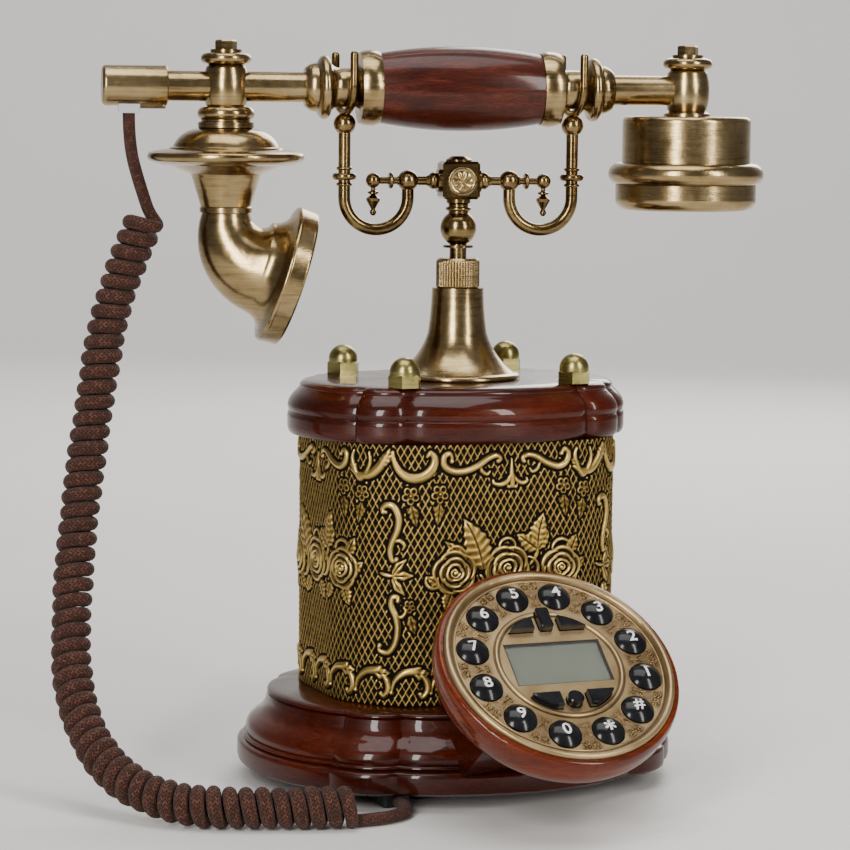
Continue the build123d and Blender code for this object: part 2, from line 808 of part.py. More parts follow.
with BuildPart() as grip_sockets:
    for side in (-1, 1):
        turned(
            SIDE,
            long_axis(HZ),
            (side * FERRULE_IN, HZ + WOOD_END_R + 0.05),
            (side * FERRULE_IN, HZ + 14.2),
            ((side * 36.4, HZ + 14.9), (side * FERRULE_OUT, HZ + 14.0)),
            (side * (FERRULE_OUT + 0.2), HZ + 9.4),
            ((side * 41.6, HZ + 8.2), (side * 43.4, HZ + 7.7)),
            (side * 48.2, HZ + 7.7),
            ((side * 50.6, HZ + 8.6), (side * 52.4, HZ + 11.6)),
            ((side * 54.2, HZ + 12.6), (side * 56.2, HZ + 11.4)),
            (side * 57.2, HZ + 9.6),
            ((side * 59.6, HZ + 9.2), (side * 62.0, HZ + 7.4)),
            (side * 62.0, HZ + TUBE_R),
            (side * 50.5, HZ + TUBE_R),
            (side * 50.5, HZ + 4.2),
            (side * 39.4, HZ + 4.2),
            (side * 39.4, HZ + WOOD_END_R + 0.05),
        )
finish(grip_sockets, "grip_sockets")

with BuildPart() as wood_grip:
    turned(
        SIDE,
        long_axis(HZ),
        (-39.4, HZ + 4.2),
        (-39.4, HZ + WOOD_END_R),
        (-FERRULE_IN + 0.1, HZ + WOOD_END_R),
        (-FERRULE_IN + 0.1, HZ + 13.7),
        ((0, HZ + 16.7), (FERRULE_IN - 0.1, HZ + 13.7)),
        (FERRULE_IN - 0.1, HZ + WOOD_END_R),
        (39.4, HZ + WOOD_END_R),
        (39.4, HZ + 4.2),
    )
finish(wood_grip, "wood_grip")

MOUTH_X = -HUB_X
BELL_TOP = HZ - 8
HORN_TOP = 225.7

with BuildPart() as transmitter_bell:
    turned(
        SIDE,
        head_axis(MOUTH_X),
        *shifted(
            MOUTH_X,
            (0, BELL_TOP),
            (9.4, BELL_TOP),
            ((11.2, 264.4), (9.8, 261.9)),
            (9.8, 261.3),
            (11.0, 260.9),
            (11.0, 258.8),
            (10.4, 258.4),
            ((17.2, 256.1), (20.8, 251.4)),
            (22.0, 251.0),
            (22.4, 250.3),
            ((27.0, 249.9), (30.2, 248.9)),
            ((30.8, 247.4), (29.8, 245.7)),
            ((26.0, 244.5), (21.6, 244.0)),
            ((18.4, 242.6), (13.8, 240.6)),
            (13.3, 239.4),
            (9.9, 228.0),
            (10.3, 227.6),
            (10.3, HORN_TOP),
            (6.0, HORN_TOP),
            (6.0, 244.6),
            (15.3, 244.6),
            (15.3, 250.2),
            (0, 250.2),
        ),
    )
finish(transmitter_bell, "transmitter_bell")

with BuildPart() as microphone:
    turned(
        SIDE,
        head_axis(MOUTH_X),
        *shifted(MOUTH_X, (0, 245.2), (14.8, 245.2), (15.2, 246.0), (15.2, 250.2), (0, 250.2)),
    )
finish(microphone, "microphone")

BEND_R = 19.0
BEND_Z = 222.2
BEND_END = 72.0
LIP_R = 27.5
HORN_WALL = 1.6


def horn_plane(turn):
    """A plane across the horn's bend, after it has turned this far from straight down."""
    angle = radians(turn)
    middle = SIDE.from_local_coords(
        (MOUTH_X + BEND_R - BEND_R * cos(angle), BEND_Z - BEND_R * sin(angle), 0)
    )
    run = SIDE.x_dir * sin(angle) - SIDE.y_dir * cos(angle)
    return Plane(origin=middle, x_dir=SIDE.z_dir, z_dir=run)


HORN_SECTIONS = ((0, 10.4), (18, 12.4), (36, 14.6), (54, 16.6), (BEND_END, 18.4))
MOUTH = horn_plane(BEND_END)
MOUTH_AXIS = Axis(MOUTH.origin, MOUTH.z_dir)
MOUTH_SIDE = Plane(origin=MOUTH.origin, x_dir=MOUTH.y_dir, z_dir=MOUTH.x_dir)

with BuildPart() as mouth_horn:
    turned(
        SIDE,
        head_axis(MOUTH_X),
        *shifted(MOUTH_X, (0, BEND_Z), (10.4, BEND_Z), (9.4, HORN_TOP), (0, HORN_TOP)),
    )
    outer = []
    for turn, radius in HORN_SECTIONS:
        with BuildSketch(horn_plane(turn)) as section:
            Circle(radius)
        outer.append(section.sketch)
    loft(outer)
    turned(
        MOUTH_SIDE,
        MOUTH_AXIS,
        (0, 0),
        (18.4, 0),
        ((20.4, 4.4), (24.6, 6.9)),
        (26.6, 7.5),
        ((LIP_R, 8.3), (LIP_R, 9.3)),
        (LIP_R - 0.3, 14.6),
        ((26.8, 15.6), (25.6, 15.7)),
        ((24.0, 14.4), (22.6, 12.0)),
        ((20.0, 7.0), (17.2, 3.0)),
        (0, 3.0),
    )
    inner = []
    for turn, radius in HORN_SECTIONS:
        with BuildSketch(horn_plane(turn)) as section:
            Circle(radius - HORN_WALL)
        inner.append(section.sketch)
    loft(inner, mode=Mode.SUBTRACT)
    turned(
        MOUTH_SIDE,
        MOUTH_AXIS,
        (0, -0.2),
        (18.4 - HORN_WALL, -0.2),
        (17.2, 3.2),
        (0, 3.2),
        mode=Mode.SUBTRACT,
    )
    turned(
        SIDE,
        head_axis(MOUTH_X),
        *shifted(MOUTH_X, (0, BEND_Z - 0.2), (6.0, BEND_Z - 0.2), (6.0, HORN_TOP), (0, HORN_TOP)),
        mode=Mode.SUBTRACT,
    )
finish(mouth_horn, "mouth_horn")

EAR_X = HUB_X

with BuildPart() as receiver_cup:
    turned(
        SIDE,
        head_axis(EAR_X),
        *shifted(
            EAR_X,
            (0, BELL_TOP),
            (7.2, BELL_TOP),
            (9.3, BELL_TOP - 1.0),
            (9.3, 264.7),
            (23.4, 264.7),
            ((25.2, 264.0), (25.8, 262.2)),
            (25.8, 246.2),
            (27.6, 246.0),
            ((31.2, 241.8), (28.2, 237.5)),
            (23.0, 237.5),
            (23.0, 261.5),
            (0, 261.5),
        ),
    )
finish(receiver_cup, "receiver_cup")

with BuildPart() as receiver_cap:
    turned(
        SIDE,
        head_axis(EAR_X),
        *shifted(
            EAR_X,
            (0, 229.2),
            ((8, 229.0), (16.0, 228.2)),
            (22.0, 227.5),
            ((26.8, 228.3), (28.3, 231.6)),
            (28.3, 237.4),
            (22.8, 237.4),
            (22.8, 240.5),
            (20.5, 240.5),
            (20.5, 232.0),
            (0, 232.0),
        ),
    )
    with BuildSketch(Plane.XY.offset(226)):
        centre = HEAD.from_local_coords((EAR_X, 0, 0))
        with Locations((centre.X, centre.Y)):
            Circle(1.3)
            with PolarLocations(6.5, 6):
                Circle(1.3)
    extrude(amount=8, mode=Mode.SUBTRACT)
finish(receiver_cap, "receiver_cap")

with BuildPart() as earpiece:
    turned(
        SIDE,
        head_axis(EAR_X),
        *shifted(EAR_X, (0, 234.4), (19.8, 234.4), (19.8, 240.0), (12, 244.0), (0, 244.0)),
    )
    turned(
        SIDE,
        head_axis(EAR_X),
        *shifted(EAR_X, (18.8, 232.0), (20.4, 232.0), (20.4, 235.0), (18.8, 235.0)),
    )
finish(earpiece, "earpiece")

# ---------------------------------------------------------------- curly cord

PLUG_BOTTOM = 264.2
PLUG = HEAD.from_local_coords((SOCKET_X, 0, PLUG_BOTTOM))

with BuildPart() as cord_plug:
    with BuildSketch(HEAD.offset(PLUG_BOTTOM)):
        with Locations((SOCKET_X, 0)):
            Rectangle(8.2, 6.4)
    extrude(amount=13)
    chamfer(cord_plug.edges().group_by(Axis.Z)[-1], 0.6)
finish(cord_plug, "cord_plug")

# Where the cord runs: straight out of the plug, over into the curls, and back under the plinth
LEAD_ROUTE = [
    (PLUG.X, PLUG.Y, PLUG_BOTTOM),
    (PLUG.X, PLUG.Y, 252.0),
    (-123.8, 27.4, 236.0),
    (-119.4, 27.0, 223.5),
]
COIL_ROUTE = [
    (-121.6, 27.8, 222.5),
    (-133.6, 33.0, 193.0),
    (-141.0, 30.8, 153.0),
    (-148.4, 26.0, 113.5),
    (-155.0, 16.4, 75.0),
    (-160.0, -1.0, 41.0),
    (-154.6, -29.0, 17.2),
    (-137.4, -54.6, 8.2),
    (-109.6, -71.2, 8.2),
    (-74.0, -80.5, 8.2),
]
TAIL_ROUTE = [
    (-76.0, -80.0, 2.8),
    (-64.0, -81.0, 2.8),
    (-52.0, -76.0, 2.8),
    (INLET_X, -67.0, 2.8),
    (INLET_X, INLET_Y, 2.8),
]


def corner_radii(route):
    """For each corner, the largest arc that takes up to 0.45 of the shorter run beside it."""
    radii = []
    for before, here, after in zip(route, route[1:], route[2:]):
        run_in = Vector(*here) - Vector(*before)
        run_out = Vector(*after) - Vector(*here)
        half_turn = radians(run_in.get_angle(run_out)) / 2
        radii.append(0.45 * min(run_in.length, run_out.length) / tan(half_turn))
    return radii


def tube(route, diameter):
    """A round tube along straight runs joined by tangent arcs."""
    radii = corner_radii(route)
    with BuildLine():
        path = FilletPolyline(*route, radius=radii)
    with BuildSketch(Plane(origin=path @ 0, z_dir=path % 0)) as section:
        Circle(diameter / 2)
    sweep(section.sketch, path=path)
    print("radii", [round(radius, 1) for radius in radii], "length", round(path.length, 1))
    return path.length


with BuildPart() as cord_lead:
    lead_length = tube(LEAD_ROUTE, WIRE_D)
finish(cord_lead, "cord_lead")

with BuildPart() as cord_coil:
    coil_length = tube(COIL_ROUTE, COIL_D)
finish(cord_coil, "cord_coil")

with BuildPart() as cord_tail:
    tail_length = tube(TAIL_ROUTE, WIRE_D)
finish(cord_tail, "cord_tail")

for piece, length, across in (
    (cord_lead, lead_length, WIRE_D),
    (cord_coil, coil_length, COIL_D),
    (cord_tail, tail_length, WIRE_D),
):
    section_area = 3.14159 * across**2 / 4
    print(piece.part.label, "volume over section times length:", piece.part.volume / section_area / length)
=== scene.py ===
import json
from math import atan2, cos, hypot, pi, radians, sin

import bmesh
import bpy
import numpy as np
from mathutils import Matrix, Vector


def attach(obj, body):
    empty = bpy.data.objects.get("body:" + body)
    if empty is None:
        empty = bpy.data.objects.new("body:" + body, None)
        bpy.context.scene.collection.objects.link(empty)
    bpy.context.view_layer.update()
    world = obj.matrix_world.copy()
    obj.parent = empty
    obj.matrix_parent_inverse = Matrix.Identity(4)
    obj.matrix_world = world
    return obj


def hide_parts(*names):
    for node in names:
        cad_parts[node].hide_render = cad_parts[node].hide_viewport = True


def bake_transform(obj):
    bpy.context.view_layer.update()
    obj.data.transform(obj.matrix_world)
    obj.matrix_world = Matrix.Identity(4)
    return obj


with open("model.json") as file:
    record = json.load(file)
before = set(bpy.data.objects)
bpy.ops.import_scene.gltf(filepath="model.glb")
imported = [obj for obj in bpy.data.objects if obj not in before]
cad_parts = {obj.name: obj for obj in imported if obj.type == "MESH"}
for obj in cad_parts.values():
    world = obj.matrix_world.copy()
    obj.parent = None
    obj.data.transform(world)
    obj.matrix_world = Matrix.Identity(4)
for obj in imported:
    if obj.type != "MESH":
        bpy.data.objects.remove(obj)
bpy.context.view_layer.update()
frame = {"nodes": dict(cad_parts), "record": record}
NODES = frame["nodes"]
MM = 0.001
SCENE = bpy.context.scene


def add_object(name, data):
    """A new object in the scene."""
    thing = bpy.data.objects.new(name, data)
    SCENE.collection.objects.link(thing)
    return thing


# ---- camera, floor and light

VIEW_YAW, VIEW_DIP, VIEW_ROLL = radians(22.2), 0.103, 0.009
VIEW_TARGET = Vector((-0.011615, 0.00474, 0.140655))
VIEW_DISTANCE = 1.2

side = Vector((cos(VIEW_YAW), -sin(VIEW_YAW), 0))
ahead = Vector((cos(VIEW_DIP) * sin(VIEW_YAW), cos(VIEW_DIP) * cos(VIEW_YAW), -sin(VIEW_DIP)))
upward = side.cross(ahead)
rolled_side = side * cos(VIEW_ROLL) + upward * sin(VIEW_ROLL)
rolled_up = upward * cos(VIEW_ROLL) - side * sin(VIEW_ROLL)
turn = Matrix((rolled_side, rolled_up, -ahead)).transposed().to_4x4()

camera_data = bpy.data.cameras.new("camera")
camera_data.lens = 126.58
camera_data.sensor_width = 36
camera_data.clip_start, camera_data.clip_end = 0.05, 30
camera = add_object("camera", camera_data)
camera.matrix_world = Matrix.Translation(VIEW_TARGET - ahead * VIEW_DISTANCE) @ turn
SCENE.camera = camera


def area_light(name, place, target, width, height, power, colour=(1, 1, 1)):
    """A soft box that faces a point."""
    data = bpy.data.lights.new(name, "AREA")
    data.shape, data.size, data.size_y = "RECTANGLE", width, height
    data.energy, data.color = power, colour
    lamp = add_object(name, data)
    lamp.location = place
    lamp.rotation_euler = (Vector(target) - Vector(place)).to_track_quat("-Z", "Y").to_euler()


area_light("soft_left", (-1.15, -1.25, 0.75), (0, 0, 0.15), 0.34, 1.25, 30, (1.0, 0.98, 0.95))
area_light("soft_right", (0.62, -1.5, 0.8), (0, 0, 0.15), 0.26, 1.15, 17, (1.0, 0.97, 0.93))
area_light("soft_top", (-0.1, -0.15, 1.5), (0, 0, 0.1), 1.1, 0.9, 12)
area_light("soft_back", (0.9, 1.2, 0.9), (0, 0, 0.2), 0.7, 1.0, 12, (1.0, 0.95, 0.9))
backdrop_way = Vector((sin(VIEW_YAW), cos(VIEW_YAW), 0))
area_light("backdrop_light", backdrop_way + Vector((0, 0, 2.1)), backdrop_way * 3.2 + Vector((0, 0, 0.7)),
    2.4, 0.5, 60)

world = bpy.data.worlds.new("studio")
world.use_nodes = True
world.node_tree.nodes["Background"].inputs["Color"].default_value = (0.78, 0.76, 0.74, 1)
world.node_tree.nodes["Background"].inputs["Strength"].default_value = 0.2
SCENE.world = world


# ---- material building

class Look:
    """A node material and short ways to add nodes to it."""

    def __init__(self, name, **sockets):
        self.name, self.material = name, bpy.data.materials.new(name)
        self.material.use_nodes = True
        self.tree = self.material.node_tree
        self.shader = self.tree.nodes["Principled BSDF"]
        for socket, value in sockets.items():
            key = socket.replace("_", " ").title().replace("Ior", "IOR")
            self.shader.inputs[key].default_value = value
        self.place = self.add("TexCoord").outputs["Object"]

    def add(self, kind, **inputs):
        node = self.tree.nodes.new("ShaderNode" + kind)
        for key, value in inputs.items():
            if key[0].islower() and hasattr(node, key):
                setattr(node, key, value)
            else:
                self.feed(node.inputs[key.replace("_", " ")], value)
        return node

    def feed(self, socket, value):
        if isinstance(value, bpy.types.NodeSocket):
            self.tree.links.new(value, socket)
        else:
            socket.default_value = value

    def math(self, operation, first, second=0):
        node = self.add("Math", operation=operation)
        self.feed(node.inputs[0], first)
        self.feed(node.inputs[1], second)
        return node.outputs[0]

    def plus(self, first, second):
        return self.math("ADD", first, second)

    def times(self, first, second):
        return self.math("MULTIPLY", first, second)

    def vector(self, operation, first, second):
        node = self.add("VectorMath", operation=operation)
        self.feed(node.inputs[0], first)
        self.feed(node.inputs[1], second)
        return node.outputs["Value" if operation == "DOT_PRODUCT" else "Vector"]

    def scaled(self, x, y, z):
        return self.vector("MULTIPLY", self.place, (x, y, z))

    def noise(self, scale, detail=3, rough=0.5, vector=None, distort=0):
        node = self.add("TexNoise", Scale=scale, Detail=detail, Roughness=rough, Distortion=distort)
        self.feed(node.inputs["Vector"], vector or self.place)
        return node.outputs["Fac"]

    def span(self, value, low, high, to_low=0, to_high=1):
        node = self.add("MapRange", interpolation_type="SMOOTHSTEP")
        for key, given in zip(("Value", "From Min", "From Max", "To Min", "To Max"),
            (value, low, high, to_low, to_high)):
            self.feed(node.inputs[key], given)
        return node.outputs["Result"]

    def ramp(self, value, *stops):
        node = self.add("ValToRGB")
        elements = node.color_ramp.elements
        while len(elements) < len(stops):
            elements.new(0.5)
        for element, (place, colour) in zip(elements, stops):
            element.position, element.color = place, (*colour, 1)
        self.feed(node.inputs["Fac"], value)
        return node.outputs["Color"]

    def mix(self, share, first, second):
        node = self.add("Mix", data_type="RGBA")
        self.feed(node.inputs["Factor"], share)
        for key, value in (("A", first), ("B", second)):
            socket = [s for s in node.inputs if s.name == key and s.type == "RGBA"][0]
            self.feed(socket, value if isinstance(value, bpy.types.NodeSocket) else (*value, 1))
        return [s for s in node.outputs if s.type == "RGBA"][0]

    def colour(self, value):
        self.feed(self.shader.inputs["Base Color"], value)

    def rough(self, value):
        self.feed(self.shader.inputs["Roughness"], value)

    def bump(self, height, distance):
        node = self.add("Bump", Strength=1, Distance=distance, Height=height)
        self.feed(self.shader.inputs["Normal"], node.outputs["Normal"])


def metal_look(name, dark, middle, bright, rough=0.26, spots=0.35):
    """Old polished metal: cloudy tarnish, dark specks, fine scratches and uneven gloss."""
    look = Look(name, metallic=1)
    cloud = look.noise(38, 5, 0.6)
    fine = look.noise(420, 3, 0.6)
    streak = look.noise(60, 2, 0.5, look.scaled(1, 1, 22))
    tone = look.plus(look.times(cloud, 0.7), look.times(streak, 0.3))
    colour = look.ramp(tone, (0.3, dark), (0.48, middle), (0.72, bright))
    speck = look.span(look.noise(900, 2, 0.7), 0.62, 0.74)
    stain = look.span(look.noise(150, 4, 0.65), 0.56, 0.75)
    mask = look.times(look.math("MAXIMUM", speck, stain), spots)
    look.colour(look.mix(mask, colour, tuple(0.35 * c for c in dark)))
    base = look.plus(look.times(fine, 0.16), look.times(cloud, 0.14))
    look.rough(look.plus(base, rough - 0.15))
    scratch = look.noise(260, 2, 0.5, look.scaled(1, 1, 9))
    look.bump(look.plus(look.times(scratch, 0.5), fine), 0.00004)
    return look


def lacquer_look(name, dark, middle, bright, grain_axis=(1, 1, 9)):
    """Glossy lacquer over reddish wood grain, with orange peel and rubbed dust."""
    look = Look(name, roughness=0.32, specular_ior_level=0.12, coat_weight=0.5, coat_roughness=0.05,
        coat_ior=1.45)
    warp = look.noise(9, 3, 0.5, look.scaled(*grain_axis))
    line = look.noise(120, 4, 0.6, look.scaled(*[a * 1.6 for a in grain_axis]), 0.6)
    pore = look.noise(700, 2, 0.5, look.scaled(*grain_axis))
    tone = look.plus(look.times(warp, 0.55), look.times(line, 0.45))
    colour = look.ramp(tone, (0.32, dark), (0.5, middle), (0.7, bright))
    hole = look.times(look.span(pore, 0.58, 0.7), 0.6)
    look.colour(look.mix(hole, colour, tuple(0.4 * c for c in dark)))
    look.rough(look.span(look.noise(30, 3), 0.3, 0.7, 0.24, 0.4))
    node = look.add("Bump", Strength=0.35, Distance=0.0002, Height=look.noise(120, 2))
    look.feed(look.shader.inputs["Coat Normal"], node.outputs["Normal"])
    return look


def moulded_look(name, colour, rough, metallic=0, grain=700, depth=0.00006, shift=0.25):
    """Plain moulded or rolled stock: fine texture with slight shade and gloss changes."""
    look = Look(name, metallic=metallic)
    broad, fine = look.noise(26, 3), look.noise(grain, 3, 0.6)
    tone = look.plus(look.times(broad, 0.6), look.times(fine, 0.4))
    low = tuple(c * (1 - shift) for c in colour)
    high = tuple(min(1, c * (1 + shift)) for c in colour)
    look.colour(look.ramp(tone, (0.3, low), (0.7, high)))
    look.rough(look.span(fine, 0.3, 0.7, rough * 0.8, min(1, rough * 1.2)))
    look.bump(fine, depth)
    return look


def grip_look():
    """Satin turned wood: long fine grain along the handset and a soft sheen."""
    look = Look("grip_wood", specular_ior_level=0.15, coat_weight=0.35, coat_roughness=0.12)
    head = radians(-12.5)
    turned = look.add("Mapping", Rotation=(0, 0, -head))
    look.feed(turned.inputs["Vector"], look.place)
    along = look.vector("MULTIPLY", turned.outputs["Vector"], (1, 9, 9))
    broad, fine = look.noise(34, 4, 0.6, along, 0.8), look.noise(260, 3, 0.6, along)
    tone = look.plus(look.times(broad, 0.6), look.times(fine, 0.4))
    colour = look.ramp(tone, (0.32, (0.012, 0.0015, 0.0005)), (0.5, (0.045, 0.006, 0.0015)),
        (0.68, (0.11, 0.018, 0.004)))
    pore = look.span(look.noise(900, 2, 0.6, along), 0.58, 0.7)
    look.colour(look.mix(look.times(pore, 0.6), colour, (0.006, 0.002, 0.001)))
    look.rough(look.span(broad, 0.3, 0.7, 0.3, 0.42))
    look.bump(fine, 0.00008)
    return look


LEAN = radians(49.5)
DIAL_CENTRE = Vector((0, -0.1017, 0.0611))
DIAL_NORMAL = Vector((0, -cos(LEAN), sin(LEAN)))
DIAL_UP = Vector((0, sin(LEAN), cos(LEAN)))


def dial_plane(look):
    """The across and up distances on the dial, in mm, and the distance from its centre."""
    local = look.vector("SUBTRACT", look.place, tuple(DIAL_CENTRE))
    across = look.times(look.vector("DOT_PRODUCT", local, (1, 0, 0)), 1000)
    up = look.times(look.vector("DOT_PRODUCT", local, tuple(DIAL_UP)), 1000)
    out = look.math("SQRT", look.plus(look.math("POWER", across, 2), look.math("POWER", up, 2)))
    return across, up, out


def dial_look():
    """Pale stamped brass: dark paint in the grooves and round the stamped scrolls, fine speckle."""
    look = Look("dial_brass", metallic=0.85)
    across, up, out = dial_plane(look)
    cloud, fine = look.noise(45, 4, 0.6), look.noise(800, 3, 0.7)
    colour = look.ramp(cloud, (0.3, (0.28, 0.19, 0.09)), (0.5, (0.4, 0.285, 0.145)),
        (0.72, (0.5, 0.375, 0.21)))
    angle = look.math("ARCTAN2", across, up)
    turn_share = look.math("DIVIDE", angle, pi / 6)
    gap = look.math("ABSOLUTE", look.math("SUBTRACT", turn_share, look.math("ROUND", turn_share)))
    near_gap = look.span(gap, 0.14, 0.27, 1, 0)
    ring = look.times(look.span(out, 26.5, 28.5), look.span(out, 40, 41, 1, 0))
    patina = look.times(look.times(near_gap, ring), look.span(fine, 0.3, 0.62, 0.25, 0.85))
    colour = look.mix(patina, colour, (0.17, 0.105, 0.05))
    for low, high, share in ((41.05, 41.9, 0.85), (25.2, 25.9, 0.75), (22.9, 23.6, 0.7)):
        middle, half = (low + high) / 2, (high - low) / 2
        distance = look.math("ABSOLUTE", look.math("SUBTRACT", out, middle))
        line = look.times(look.span(distance, half * 0.5, half, 1, 0), share)
        colour = look.mix(line, colour, (0.05, 0.028, 0.012))
    speck = look.times(look.span(fine, 0.6, 0.7), 0.3)
    look.colour(look.mix(speck, colour, (0.2, 0.13, 0.06)))
    look.rough(look.span(cloud, 0.3, 0.7, 0.3, 0.42))
    look.bump(fine, 0.00006)
    return look


def key_look():
    """Glossy black moulded keys with faint swirls and dust."""
    look = Look("key_gloss_black", specular_ior_level=0.2, coat_weight=0.18, coat_roughness=0.1)
    broad, fine = look.noise(120, 3), look.noise(1600, 2, 0.7)
    look.colour(look.ramp(broad, (0.3, (0.004, 0.004, 0.005)), (0.7, (0.012, 0.012, 0.014))))
    look.rough(look.span(fine, 0.4, 0.7, 0.14, 0.24))
    look.bump(fine, 0.00002)
    return look


def display_look():
    """The grey-green liquid crystal panel: faint cell rows and an uneven tone."""
    look = Look("display_grey", specular_ior_level=0.3)
    across, up, _ = dial_plane(look)
    rows = look.math("SINE", look.times(up, 7.5))
    columns = look.math("SINE", look.times(across, 7.5))
    cell = look.span(look.math("MAXIMUM", rows, columns), 0.9, 1)
    cloud = look.noise(30, 2)
    colour = look.ramp(cloud, (0.3, (0.155, 0.165, 0.12)), (0.7, (0.2, 0.21, 0.155)))
    look.colour(look.mix(look.times(cell, 0.12), colour, (0.08, 0.09, 0.07)))
    look.rough(look.span(cloud, 0.3, 0.7, 0.42, 0.55))
    look.bump(cell, 0.00001)
    return look


def glass_look(name, tint, rough, scratch):
    """Clear moulded plastic or glass with slight haze and fine scratches."""
    look = Look(name, transmission_weight=0.95, ior=1.48)
    fine = look.noise(scratch, 3, 0.6, look.scaled(1, 4, 1))
    look.colour(look.ramp(fine, (0.3, tint), (0.7, tuple(min(1, c * 1.06) for c in tint))))
    look.rough(look.span(fine, 0.4, 0.8, rough, rough + 0.1))
    look.bump(fine, 0.00002)
    return look


def cord_look():
    """Braided textile: V-shaped stitches in rows along the wire, dark brown with rust flecks, with painted shade
    in the gaps between threads and at each stitch's sides.
    """
    look = Look("braided_cord", specular_ior_level=0.2, sheen_weight=0.06, sheen_roughness=0.5)
    across = look.add("UVMap").outputs["UV"]
    parts = look.add("SeparateXYZ", Vector=across)
    round_share = look.times(parts.outputs["X"], 9)
    along = look.times(parts.outputs["Y"], 4.2)
    fold = look.math("PINGPONG", round_share, 0.5)
    stitch = look.plus(along, look.times(fold, 1.6))
    thread = look.math("ABSOLUTE", look.math("SINE", look.times(stitch, pi)))
    column = look.math("ABSOLUTE", look.math("SUBTRACT", look.times(fold, 2), 0.5))
    rounded = look.times(look.math("POWER", thread, 0.6), look.span(column, 0.38, 0.5, 1, 0.35))
    cell = look.add("TexWhiteNoise", noise_dimensions="2D")
    step = look.add("CombineXYZ", X=look.math("FLOOR", look.times(round_share, 2)),
        Y=look.math("FLOOR", stitch))
    look.feed(cell.inputs["Vector"], step.outputs["Vector"])
    fleck = look.span(cell.outputs["Value"], 0.2, 0.95, 0.3, 0.9)
    # Painted shade: the stitch profile darkens the colour in the gaps between threads and at the sides of each
    # stitch column, as well as shaping the bump.
    tone = look.times(rounded, look.plus(look.times(fleck, 0.65), 0.35))
    look.colour(look.ramp(tone, (0, (0.004, 0.0015, 0.001)), (0.35, (0.028, 0.01, 0.006)),
        (0.7, (0.075, 0.025, 0.014)), (1, (0.12, 0.045, 0.026))))
    look.rough(look.span(tone, 0, 1, 0.9, 0.62))
    fibre = look.noise(4000, 2, 0.6)
    look.bump(look.plus(rounded, look.times(fibre, 0.25)), 0.00028)
    return look


def relief_look():
    """Cast ornament gilded over black: gold on what stands proud, black in what lies deep, with painted shade in
    the creases and painted highlights on the rounded tops.
    """
    look = Look("antique_gold_relief", specular_ior_level=0.12)
    height = look.add("Attribute", attribute_name="relief").outputs["Fac"]
    wear = look.noise(300, 4, 0.65)
    # The tone read here includes painted shade in the ornaments' creases and painted highlights on their tops;
    # the top ramp stop is the painted highlight gold.
    tone = look.plus(height, look.times(look.math("SUBTRACT", wear, 0.5), 0.34))
    look.colour(look.ramp(tone, (0, (0.002, 0.0015, 0.001)), (0.22, (0.006, 0.004, 0.002)),
        (0.38, (0.2, 0.125, 0.03)), (0.58, (0.52, 0.36, 0.105)), (0.9, (0.78, 0.58, 0.22))))
    look.feed(look.shader.inputs["Metallic"], look.span(tone, 0.2, 0.4, 0, 0.95))
    look.rough(look.span(tone, 0.2, 0.7, 0.8, 0.3))
    look.bump(look.noise(1400, 3, 0.6), 0.00005)
    return look


def paint_look():
    """White printed paint on the keys, thinner in random patches."""
    look = Look("key_paint", specular_ior_level=0.4)
    fine = look.noise(2200, 3, 0.6)
    look.colour(look.ramp(fine, (0.35, (0.62, 0.62, 0.6)), (0.65, (0.86, 0.86, 0.84))))
    look.rough(look.span(fine, 0.3, 0.7, 0.35, 0.5))
    look.bump(fine, 0.00002)
    return look


LOOKS = {look.name: look for look in (
    metal_look("antique_brass", (0.1, 0.058, 0.022), (0.33, 0.235, 0.11),
        (0.5, 0.385, 0.21), 0.22, 0.2),
    metal_look("dark_brass", (0.06, 0.032, 0.012), (0.19, 0.125, 0.05), (0.36, 0.26, 0.12), 0.2),
    metal_look("olive_brass", (0.1, 0.085, 0.02), (0.3, 0.255, 0.09), (0.48, 0.42, 0.18), 0.3),
    lacquer_look("dark_lacquer_wood", (0.01, 0.0012, 0.0004), (0.04, 0.0045, 0.0008),
        (0.095, 0.012, 0.002)),
    lacquer_look("red_lacquer_wood", (0.035, 0.004, 0.0006), (0.1, 0.013, 0.0015),
        (0.18, 0.03, 0.004)),
    moulded_look("rubber_foot", (0.02, 0.02, 0.021), 0.8),
    moulded_look("steel_plate", (0.35, 0.35, 0.36), 0.4, 1),
    moulded_look("black_plastic", (0.015, 0.015, 0.016), 0.45),
    moulded_look("spring_steel", (0.42, 0.42, 0.43), 0.3, 1),
    moulded_look("circuit_board", (0.02, 0.14, 0.05), 0.4, 0, 300, 0.00003, 0.35),
    grip_look(),
    dial_look(),
    key_look(),
    display_look(),
    glass_look("display_glass", (0.9, 0.93, 0.9), 0.03, 300),
    glass_look("clear_plastic", (0.88, 0.92, 0.95), 0.06, 500),
    cord_look(),
    relief_look(),
)}
PAINT = paint_look().material

for part in frame["record"]["subparts"]:
    node_mesh = NODES[part["node"]].data
    node_mesh.materials.clear()
    node_mesh.materials.append(LOOKS[part["material_slot"]].material)


# ---- mesh building

def make_piece(name, points, faces, slot, body=None, smooth=True, crease=None, material=None):
    """A mesh piece from points in mm, riding on a body."""
    mesh = bpy.data.meshes.new(name)
    mesh.from_pydata((np.asarray(points, float) * MM).tolist(), [], faces)
    mesh.validate()
    mesh.update()
    if smooth:
        mesh.shade_smooth()
    if crease:
        mesh.set_sharp_from_angle(angle=radians(crease))
    mesh.materials.append(material or LOOKS[slot].material)
    piece = add_object(name, mesh)
    if body:
        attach(piece, body)
    return piece


def end_caps(rows, columns):
    """The two faces that close a tube of rows of points."""
    return [tuple(range(columns - 1, -1, -1)), tuple(range((rows - 1) * columns, rows * columns))]


def strip_faces(rows, columns, closed):
    """Quads between rows of points, one row after another."""
    across = columns if closed else columns - 1
    return [(r * columns + c, r * columns + (c + 1) % columns,
             (r + 1) * columns + (c + 1) % columns, (r + 1) * columns + c)
            for r in range(rows - 1) for c in range(across)]


# ---- curly cord

